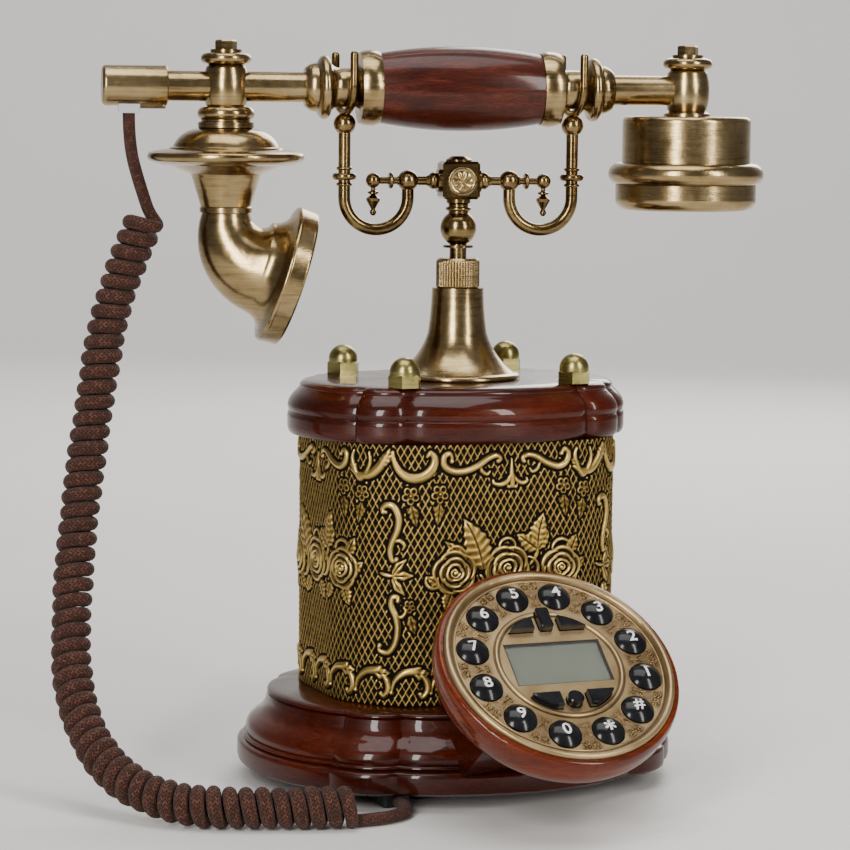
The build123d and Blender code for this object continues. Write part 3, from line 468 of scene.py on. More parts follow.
PLUG = (-127.894, 28.354)
LEAD_ROUTE = [(*PLUG, 264.2), (*PLUG, 252), (-123.8, 27.4, 236), (-119.4, 27, 223.5)]
COIL_ROUTE = [(-121.6, 27.8, 222.5), (-133.6, 33, 193), (-141, 30.8, 153), (-148.4, 26, 113.5),
    (-155, 16.4, 75), (-160, -1, 41), (-154.6, -29, 17.2), (-137.4, -54.6, 8.2),
    (-109.6, -71.2, 8.2), (-74, -80.5, 8.2)]
TAIL_ROUTE = [(-76, -80, 2.8), (-64, -81, 2.8), (-52, -76, 2.8), (-46, -67, 2.8), (-46, -55, 2.8)]
WIRE_R = 2.45
COIL_WIRE_R = 2.85
CURL_R = 5.1
CURLS = 53
LEAD_LENGTH, TAIL_LENGTH, THICKENING = 42, 52, 12


def route_points(points):
    """Points in mm along the smooth NURBS line whose control points are the route's."""
    curve = bpy.data.curves.new("route", "CURVE")
    curve.dimensions = "3D"
    curve.resolution_u = 32
    spline = curve.splines.new("NURBS")
    spline.points.add(len(points) - 1)
    for control, point in zip(spline.points, points):
        control.co = (*[c * MM for c in point], 1)
    spline.order_u = 3
    spline.use_endpoint_u = True
    carrier = bpy.data.objects.new("route", curve)
    mesh = bpy.data.meshes.new_from_object(carrier)
    line = np.array([v.co for v in mesh.vertices]) / MM
    bpy.data.objects.remove(carrier)
    bpy.data.curves.remove(curve)
    bpy.data.meshes.remove(mesh)
    return line


def run_along(line):
    """The distance of each point along a line from its start."""
    return np.concatenate([[0], np.cumsum(np.linalg.norm(np.diff(line, axis=0), axis=1))])


def evenly(line, step):
    """The same line with points at even steps along it."""
    run = run_along(line)
    at = np.linspace(0, run[-1], max(2, int(round(run[-1] / step)) + 1))
    return np.stack([np.interp(at, run, line[:, k]) for k in range(3)], axis=1)


def directions(line):
    """Unit tangents and a pair of steady normals along a line."""
    tangent = np.gradient(line, axis=0)
    tangent /= np.linalg.norm(tangent, axis=1)[:, None]
    first = np.cross(tangent[0], (0.0, 0.0, 1.0) if abs(tangent[0][2]) < 0.9 else (0.0, 1.0, 0.0))
    normals = [first / np.linalg.norm(first)]
    for direction in tangent[1:]:
        kept = normals[-1] - direction * (normals[-1] @ direction)
        normals.append(kept / np.linalg.norm(kept))
    normals = np.array(normals)
    return tangent, normals, np.cross(tangent, normals)


def bridge(start, start_way, end, end_way, pull, count):
    """A smooth curve between two ends, leaving and arriving in given directions."""
    t = np.linspace(0, 1, count)[:, None]
    a, b, c, d = start, start + start_way * pull, end - end_way * pull, end
    return a * (1 - t) ** 3 + 3 * b * t * (1 - t) ** 2 + 3 * c * t ** 2 * (1 - t) + d * t ** 3


lead_line = evenly(route_points(LEAD_ROUTE), 0.8)
tail_line = evenly(route_points(TAIL_ROUTE), 0.8)
axis_line = evenly(route_points(COIL_ROUTE), 0.14)
tangent, normal, binormal = directions(axis_line)
start_side = lead_line[-1] - axis_line[0]
first_turn = atan2(start_side @ binormal[0], start_side @ normal[0])
last_turn = atan2(-binormal[-1][2], -normal[-1][2])
curl_count = CURLS + ((last_turn - first_turn) / (2 * pi)) % 1
share = np.linspace(0, 1, len(axis_line))
turn_angle = first_turn + 2 * pi * curl_count * share
wobble = 1 + 0.025 * np.sin(share * 47) + 0.02 * np.sin(share * 113 + 1)
radius = (CURL_R * wobble)[:, None]
curls = axis_line + radius * (np.cos(turn_angle)[:, None] * normal + np.sin(turn_angle)[:, None] * binormal)
curls = evenly(curls, 0.9)[4:-3]


def heading(line, index):
    """The unit direction of a line at one of its ends."""
    way = line[index + 1] - line[index] if index >= 0 else line[index] - line[index - 1]
    return way / np.linalg.norm(way)


lead_line = lead_line[:-6]
cord_line = np.concatenate([
    lead_line,
    bridge(lead_line[-1], heading(lead_line, -1), curls[0], heading(curls, 0), 5.5, 14)[1:-1],
    curls,
    bridge(curls[-1], heading(curls, -1), tail_line[4], heading(tail_line, 4), 6.0, 14)[1:-1],
    tail_line[4:],
])
cord_line = evenly(cord_line, 0.85)
run = run_along(cord_line)
coil_share = np.clip(np.minimum(run - LEAD_LENGTH, run[-1] - TAIL_LENGTH - run) / THICKENING, 0, 1)
wire_size = WIRE_R + (COIL_WIRE_R - WIRE_R) * coil_share
cord_line[:, 2] = np.maximum(cord_line[:, 2], wire_size + 0.1)

SIDES = 14
tangent, normal, binormal = directions(cord_line)
around = np.linspace(0, 2 * pi, SIDES, endpoint=False)
rings = cord_line[:, None, :] + wire_size[:, None, None] * (np.cos(around)[None, :, None] * normal[:, None, :]
    + np.sin(around)[None, :, None] * binormal[:, None, :])
cord_faces = strip_faces(len(cord_line), SIDES, True) + end_caps(len(cord_line), SIDES)
cord = make_piece("curly_cord", rings.reshape(-1, 3), cord_faces, "braided_cord")
run = run_along(cord_line) / (2 * WIRE_R)
cord_uv = cord.data.uv_layers.new(name="along")
for polygon in cord.data.polygons:
    first = polygon.vertices[0] % SIDES
    for loop, vertex in zip(polygon.loop_indices, polygon.vertices):
        column = vertex % SIDES
        if first == SIDES - 1 and column == 0:
            column = SIDES
        cord_uv.data[loop].uv = (column / SIDES, run[vertex // SIDES])
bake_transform(cord)
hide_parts("cord_lead", "cord_coil", "cord_tail")

# ---- stage

SWEEP_START, SWEEP_R, WALL_TOP, NEAR_END, HALF_SPAN = 2.2, 1.2, 5.0, 5.0, 6.0
sweep_profile = [(-NEAR_END, 0.0), (SWEEP_START, 0.0)]
sweep_profile += [(SWEEP_START + SWEEP_R * sin(radians(6 * k)),
    SWEEP_R * (1 - cos(radians(6 * k)))) for k in range(1, 16)]
sweep_profile.append((SWEEP_START + SWEEP_R, WALL_TOP))
sweep_side = Vector((backdrop_way.y, -backdrop_way.x, 0))
floor_points = [tuple(backdrop_way * away + sweep_side * span + Vector((0, 0, z)))
                for away, z in sweep_profile for span in (-HALF_SPAN, HALF_SPAN)]
floor_mesh = bpy.data.meshes.new("floor")
floor_mesh.from_pydata(floor_points, [], [(2 * k, 2 * k + 1, 2 * k + 3, 2 * k + 2)
                                          for k in range(len(sweep_profile) - 1)])
floor_mesh.shade_smooth()
floor = add_object("floor", floor_mesh)
floor_look = Look("floor_paper")
floor_look.colour(floor_look.ramp(floor_look.noise(3, 3), (0.3, (0.7, 0.69, 0.67)), (0.7, (0.73, 0.72, 0.7))))
floor_look.rough(floor_look.span(floor_look.noise(200, 2), 0.3, 0.7, 0.55, 0.65))
floor_mesh.materials.append(floor_look.material)

# ---- plinth and top plate

CREASE_DEPTH = 1.7


def arc_points(start, middle, end, count):
    """Points along the arc through three points, without its last one."""
    (ax, ay), (bx, by), (cx, cy) = start, middle, end
    twice = 2 * (ax * (by - cy) + bx * (cy - ay) + cx * (ay - by))
    sizes = [x * x + y * y for x, y in (start, middle, end)]
    x = (sizes[0] * (by - cy) + sizes[1] * (cy - ay) + sizes[2] * (ay - by)) / twice
    y = (sizes[0] * (cx - bx) + sizes[1] * (ax - cx) + sizes[2] * (bx - ax)) / twice
    first = atan2(ay - y, ax - x)
    sweep = (atan2(cy - y, cx - x) - first + pi) % (2 * pi) - pi
    r = hypot(ax - x, ay - y)
    return [(x + r * cos(first + sweep * k / count), y + r * sin(first + sweep * k / count))
            for k in range(count)]


def oval_outline(half_x, half_y, groove):
    """Points round an oval with a pillow at each corner and a fine groove at each crease."""
    front, flank = (0.568 * half_x, 0.827 * half_y), (0.824 * half_x, 0.613 * half_y)
    pillow = (0.724 * half_x, 0.751 * half_y)
    points, creases = [], []
    for sx, sy in ((1, 1), (-1, 1), (-1, -1), (1, -1)):
        ends = [(sx * flank[0], sy * flank[1]), (sx * front[0], sy * front[1])]
        if sx * sy < 0:
            ends.reverse()
        creases.append(len(points))
        points += arc_points(ends[0], (sx * pillow[0], sy * pillow[1]), ends[1], 14)
        creases.append(len(points))
        if sx * sy > 0:
            points += arc_points(ends[1], (0, sy * half_y), (-ends[1][0], ends[1][1]), 30)
        else:
            points += arc_points(ends[1], (sx * half_x, 0), (ends[1][0], -ends[1][1]), 26)
    for k in creases:
        for beside, part in ((-2, 0.15), (-1, 0.45), (0, 1.0), (1, 0.45), (2, 0.15)):
            x, y = points[k + beside]
            kept = 1 - groove * part / hypot(x, y)
            points[k + beside] = (x * kept, y * kept)
    return np.array(points)


def turned_oval(name, levels, halves, shares, slot, node):
    """An oval block with an edge profile of (height, inset); each half takes its share of the inset."""
    rows = []
    for z, inset in levels:
        half_x, half_y = (half - share * max(0, inset) for half, share in zip(halves, shares))
        ring = oval_outline(half_x, half_y, CREASE_DEPTH)
        rows.append(np.column_stack([ring, np.full(len(ring), z)]))
    columns = len(rows[0])
    faces = strip_faces(len(rows), columns, True) + end_caps(len(rows), columns)
    piece = make_piece(name, np.concatenate(rows), faces, slot, "base", crease=38)
    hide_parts(node)


def between(knots, at):
    """The place on the smooth curve through the knots, at a count of knots from its start."""
    k = min(len(knots) - 2, int(at))
    t = at - k
    p0, p1, p2, p3 = (knots[min(max(k + d, 0), len(knots) - 1)] for d in (-1, 0, 1, 2))
    return 0.5 * (2 * p1 + (p2 - p0) * t + (2 * p0 - 5 * p1 + 4 * p2 - p3) * t ** 2
                  + (3 * p1 - p0 - 3 * p2 + p3) * t ** 3)


def smooth_profile(knots, count):
    """A profile rounded between its knots of (height, inset)."""
    knots = np.array(knots, float)
    run = run_along(knots)
    places = np.interp(np.linspace(0, run[-1], count), run, np.arange(len(run)))
    return [between(knots, place) for place in places]


PLINTH_PROFILE = (
    [(6, 2.6), (6.3, 1.4), (7.4, 0.3), (9.2, 0), (13.2, 0)]
    + smooth_profile([(13.6, 0), (14.9, 0.3), (15.5, 1.1)], 6)
    + [(15.69, 1.9), (15.87, 2.2)]
    + smooth_profile([(15.97, 2.1), (16.53, 1.6), (17.28, 1.8), (17.65, 2.3)], 8)
    + smooth_profile([(17.74, 2.7), (19.71, 2.4), (22.51, 3.1), (24.94, 4.8),
        (27.18, 6.6), (29.62, 7.7), (32.05, 8.2), (33.35, 8.5)], 22)
    + [(33.54, 8.9), (33.73, 9.1)]
    + smooth_profile([(33.82, 8.9), (34.48, 8.4), (35.41, 8.8), (36.07, 9.8)], 8)
    + [(36.35, 10.8), (36.72, 13), (37, 17), (37, 26)]
)
PLINTH_HALVES, PLINTH_SHARES = (88.0, 77.0), (1.4, 1.6)
turned_oval("plinth_body", PLINTH_PROFILE, PLINTH_HALVES, PLINTH_SHARES, "dark_lacquer_wood", "plinth")

PLATE_PROFILE = (
    [(138.5, 2.4), (138.7, 1.2), (139.6, 0.4), (141.1, 0)]
    + smooth_profile([(142.2, -0.1), (144.4, -0.2), (146.4, 0.1), (147.2, 0.5)], 8)
    + [(147.4, 0.8), (147.6, 0.8)]
    + smooth_profile([(147.8, 0.5), (149.6, 0.1), (152, 0.7), (154.2, 2.2), (155.8, 3.8), (156.6, 4.5)], 16)
    + [(156.8, 4.9), (157, 5)]
    + smooth_profile([(157.2, 4.9), (157.9, 4.9), (158.7, 5.5), (159.1, 6.1)], 8)
    + [(159.5, 6.8), (159.8, 8), (159.8, 17)]
)
PLATE_HALVES, PLATE_SHARES = (69.0, 53.0), (1.0, 1.0)
turned_oval("top_plate_body", PLATE_PROFILE, PLATE_HALVES, PLATE_SHARES, "dark_lacquer_wood", "top_plate")

# ---- relief casing

PERIOD = 96.3
DEPTH = 101.5
COLS, ROWS = 482, 506
STEP_U, STEP_D = PERIOD / COLS, DEPTH / (ROWS - 1)
GRID_D, GRID_U = np.mgrid[0:ROWS, 0:COLS]
GRID_D = GRID_D * STEP_D
GRID_U = GRID_U * STEP_U
raised = np.zeros((ROWS, COLS))


def window(u, d, reach):
    """Row and column numbers near a point, wrapped round, with their offsets in mm."""
    rows = np.arange(max(0, int((d - reach) / STEP_D)), min(ROWS, int((d + reach) / STEP_D) + 2))
    cols = np.arange(int((u - reach) / STEP_U) - 1, int((u + reach) / STEP_U) + 2)
    off_d = rows * STEP_D - d
    off_u = cols * STEP_U - u
    return np.ix_(rows, cols % COLS), off_u[None, :], off_d[:, None]


def dab(u, d, radius, height):
    """Raise a round-topped spot."""
    at, off_u, off_d = window(u, d, radius)
    round_top = np.sqrt(np.clip(1 - (off_u ** 2 + off_d ** 2) / radius ** 2, 0, None))
    raised[at] = np.maximum(raised[at], height * round_top)


BOLD = 1.38
LEAF_BREADTH = 1.3


def stroke(points, wide, tall, tip=0.35, swell=0.5):
    """Raise a round ridge along a smooth curve; it is widest at swell and tapers to tip of that."""
    wide *= BOLD
    knots = np.array(points, float)
    count = max(8, int(np.linalg.norm(np.diff(knots, axis=0), axis=1).sum() / 0.16))
    for a in np.linspace(0, len(knots) - 1, count):
        place = between(knots, a)
        s = a / (len(knots) - 1)
        bell = s / swell if s < swell else (1 - s) / (1 - swell)
        bell = sin(min(1, bell) * pi / 2)
        size = wide * (tip + (1 - tip) * bell)
        dab(place[0], place[1], size, tall * (0.75 + 0.25 * bell))


def scroll(u, d, r, start, turns, wide, tall, shrink=0.25):
    """A volute that winds inwards and ends in a ball."""
    count = int(abs(turns) * 40) + 2
    for k in range(count):
        s = k / (count - 1)
        angle = radians(start) + s * turns * 2 * pi
        reach = r * (1 - (1 - shrink) * s)
        dab(u + reach * cos(angle), d + reach * sin(angle), wide * (1 - 0.25 * s), tall)
    dab(u, d, wide * 1.35, tall * 1.1)


def leaf(base, tip, wide, tall, teeth=5, bend=0.0):
    """A toothed leaf with a sunk middle vein and slanting side veins."""
    (u0, d0), (u1, d1) = base, tip
    wide *= LEAF_BREADTH
    length = hypot(u1 - u0, d1 - d0)
    cu, cd = (u1 - u0) / length, (d1 - d0) / length
    at, off_u, off_d = window((u0 + u1) / 2, (d0 + d1) / 2, length * 0.62 + wide)
    along = ((off_u * cu + off_d * cd) + length / 2) / length
    across = -off_u * cd + off_d * cu
    inside = (along > 0) & (along < 1)
    s = np.clip(along, 0, 1)
    across = across - bend * np.sin(pi * s)
    half = wide / 2 * np.sin(pi * s ** 0.72) * (1 + 0.22 * (2 * np.abs((s * teeth) % 1 - 0.5) - 0.5))
    half = np.maximum(half, 0.05)
    edge = np.abs(across) / half
    body = tall * (0.62 + 0.38 * np.sqrt(np.clip(1 - edge ** 2, 0, 1)))
    vein = 0.55 * tall * np.exp(-(across / 0.22) ** 2)
    side_vein = 0.09 * tall * (1 + np.cos((s * teeth - np.abs(across) / half * 0.7) * 2 * pi))
    shape = np.where(inside & (edge < 1), body - vein - side_vein * (np.abs(across) > 0.25), 0)
    raised[at] = np.maximum(raised[at], shape)


def petal_edge(u, d, r, start, sweep, wide, tall, squeeze=0.92, drift=0.12):
    """The rolled rim of one petal."""
    count = max(6, int(r * abs(radians(sweep)) / 0.16))
    for k in range(count):
        s = k / (count - 1)
        angle = radians(start + sweep * s)
        reach = r * (1 + drift * sin(pi * s)) * (1 - 0.1 * s)
        bell = sin(pi * min(1, max(0, s * 0.86 + 0.07)))
        dab(u + reach * cos(angle), d + squeeze * reach * sin(angle),
            wide * (0.55 + 0.45 * bell), tall * (0.85 + 0.15 * bell))


def rose(u, d, r, first=20):
    """An open rose: rings of rolled petals round a coiled heart."""
    at, off_u, off_d = window(u, d, r)
    span = np.sqrt(off_u ** 2 + (off_d / 0.92) ** 2) / r
    raised[at] = np.where(span < 0.97, np.maximum(0.16, 0.3 * (1 - span)), raised[at])
    for ring, (reach, number, wide, tall) in enumerate(((0.97, 5, 0.86, 1.45), (0.66, 4, 0.8, 1.75),
        (0.38, 3, 0.7, 2.0))):
        for k in range(number):
            start = first + 37 * ring + 360 * k / number
            petal_edge(u, d, r * reach, start, 360 / number * 1.16, wide * r / 7.5, tall)
            if ring < 2:
                petal_edge(u, d, r * (reach - 0.13), start + 14, 360 / number * 0.75, wide * r / 9,
                    tall * 0.62)
    scroll(u, d, r * 0.24, first, 1.4, 0.42 * r / 7.5, 2.05, 0.2)


def blossom(u, d, r, tall=0.95):
    """A small flower with five round petals."""
    for k in range(5):
        angle = radians(90 + 72 * k)
        pu, pd = u + 0.62 * r * cos(angle), d + 0.62 * r * sin(angle)
        petal_edge(pu, pd, r * 0.34, 0, 360, 0.46, tall, 1.0, 0.0)
        dab(pu, pd, r * 0.3, tall * 0.45)
    dab(u, d, r * 0.22, tall * 1.25)


CELLS = 33
wide_cell, high_cell = PERIOD / CELLS, 5.05
slope = hypot(1 / wide_cell, 1 / high_cell)
rising, falling = GRID_U / wide_cell + GRID_D / high_cell, GRID_U / wide_cell - GRID_D / high_cell
off_rise = np.abs(rising - np.round(rising)) / slope
off_fall = np.abs(falling - np.round(falling)) / slope
net = 0.78 * np.sqrt(np.clip(1 - (np.minimum(off_rise, off_fall) / 0.47) ** 2, 0, None))
knot = 0.95 * np.sqrt(np.clip(1 - (off_rise ** 2 + off_fall ** 2) / 0.6 ** 2, 0, None))
inner_rise, inner_fall = np.abs((rising % 1) - 0.5), np.abs((falling % 1) - 0.5)
pip = 0.26 * np.clip(1 - (np.maximum(inner_rise, inner_fall) / 0.16) ** 2, 0, None)
net = np.maximum(np.maximum(net, knot), pip)

# Scrolls along the top
stroke([(-22.6, 5.4), (-23.6, 3.4), (-26, 4.4), (-26, 7.6), (-22.6, 10), (-17.4, 10.3), (-12, 8.6),
        (-7, 5.6), (-3.6, 4.6), (-1.8, 5.8), (-2.6, 7)], 1.15, 1.7, 0.55, 0.4)
dab(-22.8, 6.2, 1.1, 1.8)
dab(-2.9, 6.8, 0.95, 1.8)
stroke([(-10.6, 7.4), (-9.9, 10.2), (-7.6, 11.8), (-6.2, 10.6)], 0.7, 1.3, 0.45, 0.4)
stroke([(25, 4.2), (26.4, 3), (28, 4.8), (27, 8), (23.6, 9.6), (18.6, 8.2), (14, 5.6), (10.2, 4.7),
        (8, 5.8), (8.2, 7.3)], 1.1, 1.7, 0.55, 0.4)
dab(24.8, 4.6, 1, 1.8)
dab(8.5, 7.2, 0.95, 1.8)
stroke([(15.6, 7.2), (14.6, 10), (12.2, 11.4), (11.2, 10)], 0.65, 1.25, 0.45, 0.4)
# Spike with two curls between the scrolls
stroke([(3.1, 5.8), (3.1, 10), (3.3, 14), (3.4, 17.4)], 1, 1.6, 0.2, 0.75)
stroke([(2.8, 11.6), (1.4, 14.6), (-1.6, 16), (-4.4, 15.4), (-4.8, 14)], 0.85, 1.5, 0.35, 0.35)
stroke([(3.6, 11.6), (5.2, 14.4), (7.8, 15.6), (9.8, 14.8), (9.6, 13.6)], 0.8, 1.5, 0.35, 0.35)
for u in (1.9, 4.9):
    stroke([(3.3, 16.2), (u, 17), (u + (u - 3.4) * 0.5, 15.6)], 0.6, 1.35, 0.4, 0.4)
# Crescents and wings at the corners
stroke([(-47, 2.6), (-46.2, 6.4), (-43.6, 10.4), (-39.4, 12.6), (-34.6, 12), (-31, 9), (-29.9, 5.2),
        (-31.6, 3), (-33, 4.2)], 1.55, 1.8, 0.35, 0.5)
leaf((-33.6, 11.4), (-28.6, 10.6), 2.2, 1.3, 3)
stroke([(32, 2.8), (31.2, 5.6), (32.4, 9.6), (35.2, 13.4), (38.2, 10.6), (39.8, 6.6), (39.2, 3)],
       0.95, 1.6, 0.45, 0.5)
leaf((33.6, 10.2), (29.4, 7), 2.4, 1.3, 3)
stroke([(30.6, 10), (34.6, 12), (39.4, 11.8), (43.6, 8.8), (46.6, 4.6), (48, 1.8)], 1.5, 1.8, 0.3, 0.6)
leaf((44, 8), (49.6, 2.2), 3.4, 1.7, 4)
stroke([(49.6, 2.4), (49.4, 5), (50.2, 7.6)], 0.8, 1.4, 0.4)
# Hanging flowers
FLOWERS = [(-39.6, 19.4, 3.5, 1.6), (-27.6, 18.8, 3.6, -0.6), (26, 17.2, 3.2, 0.8), (36, 19, 3.2, -1.2)]
for u, d, r, drop in FLOWERS:
    blossom(u, d, r)
    leaf((u + drop * 0.2, d + 3.6), (u + drop * 1.6, d + 12.4), 3, 0.95, 4)
    leaf((u + drop * 0.5, d + 6.8), (u + drop * 0.6 - 2.8, d + 4.8), 1.8, 0.85, 2)
    leaf((u + drop * 0.5, d + 7.6), (u + drop * 0.6 + 2.8, d + 5.8), 1.8, 0.85, 2)
# Leaves behind the roses, then the roses
leaf((-8.6, 49), (-17.4, 28.6), 8.6, 1.55, 7, 1.2)
leaf((-12, 48), (-25.6, 37), 4.6, 1.2, 5)
leaf((15, 42), (5.6, 35.6), 5.2, 1.5, 5)
leaf((14.6, 41), (17.4, 27.6), 6, 1.55, 6, -0.6)
leaf((15, 42), (20, 34.6), 3.6, 1.4, 4)
leaf((-26, 55), (-33, 50.6), 3.8, 1.3, 4)
leaf((-22.6, 57.6), (-25.2, 64.2), 4.6, 1.4, 5)
leaf((-17, 57), (-11.6, 62.6), 4.2, 1.3, 5)
leaf((-5.2, 56.6), (-9.6, 63.4), 4.6, 1.4, 5)
leaf((6.6, 56.4), (11, 63.4), 4.6, 1.4, 5)
leaf((17.6, 56), (14.6, 62.6), 4.2, 1.3, 5)
leaf((27, 56.2), (30, 63.8), 4.4, 1.4, 5)
leaf((31.4, 50), (36.8, 46), 3.6, 1.3, 4)
leaf((29, 43.6), (32.6, 36.6), 4.2, 1.3, 4)
stroke([(-6, 52), (-9, 46), (-14, 44.6)], 0.8, 1.2, 0.4)
stroke([(11.6, 48), (14.4, 44), (14.8, 40.6)], 0.8, 1.2, 0.4)
petal_edge(-20.4, 43.6, 4.4, 190, 150, 0.8, 1.3)
petal_edge(-29.4, 51.6, 4, 60, 130, 0.85, 1.35)
petal_edge(9.6, 49.4, 5.2, -80, 170, 0.85, 1.4)
petal_edge(1.8, 40.6, 3.6, 180, 180, 0.75, 1.3)
petal_edge(25.6, 42.4, 4.2, 185, 165, 0.8, 1.3)
petal_edge(-12.6, 53.4, 3.8, -40, 150, 0.8, 1.3)
rose(-21.1, 49.6, 8.6, 10)
rose(1.8, 48.6, 8.8, 60)
rose(25.4, 49.4, 8.2, 100)
# Upright scrolls and a three-leaved sprig on each corner
stroke([(46.6, 26), (45.2, 24.8), (47, 23.2), (50, 23.8), (52, 28), (51.4, 33), (49.4, 37.6),
        (48.6, 41.6), (49.6, 44.6), (51.4, 44.2)], 1.15, 1.7, 0.6, 0.45)
dab(45.7, 25.8, 1.2, 1.8)
dab(51.2, 44.2, 1.15, 1.8)
stroke([(49.8, 37.6), (52.4, 36.8), (54.4, 38.6), (53.6, 40.4)], 0.7, 1.35, 0.4, 0.4)
stroke([(44.4, 49.6), (47.4, 50.4), (50.6, 50.6)], 0.65, 1.3, 0.35)
leaf((49.6, 50.4), (55.6, 43.8), 2.6, 1.5, 2, -0.5)
leaf((50, 50.6), (58.6, 50.4), 2.8, 1.5, 2)
leaf((49.6, 51), (55, 58.4), 2.6, 1.5, 2, 0.5)
stroke([(52.2, 60.4), (51.6, 58.8), (49.6, 59.2), (49.4, 62.4), (51.2, 66.4), (52, 71), (51, 76.6),
        (48.2, 80.4), (44.8, 80), (44.2, 77.6)], 1.1, 1.7, 0.6, 0.45)
dab(52, 60.2, 1.15, 1.8)
dab(44.6, 78, 1.1, 1.8)
stroke([(51.4, 66), (53.6, 66.4), (55.2, 64.2), (54.2, 62.8)], 0.7, 1.35, 0.4, 0.4)
blossom(56.6, 62.4, 2.4, 0.8)
leaf((56.8, 66), (59, 73.6), 3, 0.9, 3)
# Arched scrolls along the bottom
ARCH = PERIOD / 6
for k in range(6):
    u = -47.6 + ARCH * k
    stroke([(u + 1.2, 95.2), (u + 2.4, 91.4), (u + 6, 88.4), (u + 10.2, 87.6), (u + 12.6, 86.4)],
           1.25, 1.7, 0.3, 0.7)
    leaf((u + 9.6, 88.2), (u + 16.6, 88.4), 3.6, 1.6, 3, 0.5)
    stroke([(u + 12.8, 88.6), (u + 15.2, 91.6), (u + 15.6, 95), (u + 13.6, 97.6), (u + 12, 96.4)],
           1.1, 1.65, 0.45, 0.3)
    dab(u + 12.6, 96.6, 0.95, 1.7)
    dab(u + 1, 96.2, 1.1, 1.6)

near = raised.copy()
for shift_u, shift_d in ((3, 0), (-3, 0), (0, 3), (0, -3), (3, 3), (-3, -3), (3, -3), (-3, 3)):
    near = np.maximum(near, np.roll(np.roll(raised, shift_u, 1), shift_d, 0))
relief = np.where(raised > 0.1, raised, np.where(near > 0.1, 0.02, net))


def softened(field, passes):
    """A field averaged with its neighbours, wrapped sideways."""
    for _ in range(passes):
        padded = np.pad(field, ((1, 1), (0, 0)), mode="edge")
        field = (padded[:-2] + 2 * field + padded[2:]) / 4
        field = (np.roll(field, 1, 1) + 2 * field + np.roll(field, -1, 1)) / 4
    return field


relief = softened(relief, 1)
around_level = softened(relief, 14)
# Per-point colour tone: height gives gold on raised parts and black on the low ground; height above its blurred
# surroundings adds painted shade in the creases round each ornament and painted highlights on its rounded tops.
gilt_and_painted_shade = np.clip(0.1 + 0.27 * relief + 0.85 * (relief - around_level), 0, 1)
gilt_and_painted_shade = np.where(relief < 0.16, gilt_and_painted_shade * relief / 0.16, gilt_and_painted_shade)

CASING_R, CASING_TOP = 36.0, 138.5
LONG_FLAT, SHORT_FLAT = 24.0, 13.0
QUARTER = LONG_FLAT + SHORT_FLAT + CASING_R * pi / 2
cols = np.arange(0, COLS + 1, 2)
rows = np.arange(0, ROWS, 2)
across = (cols * STEP_U - PERIOD / 2) * QUARTER / PERIOD
SHIFT = int(round(PERIOD / 2 / STEP_U))
sample = np.ix_(rows, (cols - SHIFT) % COLS)
panel_height, panel_gilt_and_shade = relief[sample], gilt_and_painted_shade[sample]


def wall_points(out, z, flat, depth):
    """Points of one wall at a distance outside its base line, as a front wall, in mm."""
    angle = np.clip((np.abs(across) - flat) / CASING_R, 0, None) * np.sign(across)
    x = np.clip(across, -flat, flat) + (CASING_R + out) * np.sin(angle)
    y = -depth - (CASING_R + out) * np.cos(angle)
    return np.stack(np.broadcast_arrays(x, y, z), axis=-1)


height = CASING_TOP - rows * STEP_D
panel_gilt_and_shade_rows = np.concatenate([np.zeros((1, len(cols))), panel_gilt_and_shade, np.zeros((1, len(cols)))])
panel_rows, panel_columns = len(rows) + 2, len(cols)
panel_faces = [tuple(reversed(face)) for face in strip_faces(panel_rows, panel_columns, False)]
last = (panel_rows - 1) * panel_columns
panel_faces += [(k, k + 1, last + k + 1, last + k) for k in range(panel_columns - 1)]
for number in range(4):
    walls = (LONG_FLAT, SHORT_FLAT) if number % 2 == 0 else (SHORT_FLAT, LONG_FLAT)
    flat_points = np.concatenate([
        wall_points(-3.0, height[0], *walls)[None],
        wall_points(panel_height - 0.95, height[:, None], *walls),
        wall_points(-3.0, height[-1], *walls)[None],
    ]).reshape(-1, 3)
    c, s = cos(number * pi / 2), sin(number * pi / 2)
    points = np.column_stack([flat_points[:, 0] * c - flat_points[:, 1] * s,
        flat_points[:, 0] * s + flat_points[:, 1] * c, flat_points[:, 2]])
    panel = make_piece(f"casing_relief_{number + 1}", points, panel_faces, "antique_gold_relief", "base")
    # The per-point tone layer carries the gold-and-black colour together with its painted shade and painted
    # highlights.
    tones = panel.data.attributes.new("relief", "FLOAT", "POINT")
    tones.data.foreach_set("value", panel_gilt_and_shade_rows.astype(np.float32).ravel())
    if number == 0:
        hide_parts("casing")

# ---- knurled collar

KNURLS, COLLAR_COLS = 44, 352
collar_rows = []
profile = [(196.0, 7.9, 0), (196.05, 8.2, 0), (196.5, 8.62, 0.4)]
profile += [(196.5 + 0.2 * k, 8.72, 1.0) for k in range(1, 50)]
profile += [(206.7, 8.6, 0.4), (207.3, 8.15, 0), (207.8, 7.7, 0), (207.8, 3.6, 0)]
spin = np.linspace(0, 2 * pi, COLLAR_COLS, endpoint=False)
for z, r, deep in profile:
    ridge = np.abs(np.sin(spin * KNURLS / 2)) ** 0.7
    cross = 0.9 + 0.1 * np.abs(sin(z * 3.6))
    reach = r - 0.42 * deep * (1 - ridge * cross)
    collar_rows.append(np.column_stack([reach * np.cos(spin), reach * np.sin(spin), np.full(COLLAR_COLS, z)]))
collar_faces = strip_faces(len(collar_rows), COLLAR_COLS, True)
collar_faces.append(tuple(range(COLLAR_COLS - 1, -1, -1)))
collar = make_piece("collar_knurled", np.concatenate(collar_rows), collar_faces, "antique_brass", "base",
    crease=45)
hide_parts("knurled_collar")


# ---- dial

def on_dial(u, v, w):
    """Row-frame points in mm from distances across, up and out of the dial."""
    u, v, w = np.broadcast_arrays(np.asarray(u, float), v, w)
    base = np.array(DIAL_CENTRE) / MM
    return (base + u[..., None] * np.array((1.0, 0, 0)) + v[..., None] * np.array(DIAL_UP)
            + w[..., None] * np.array(DIAL_NORMAL))


WIRE_SIDES = 6


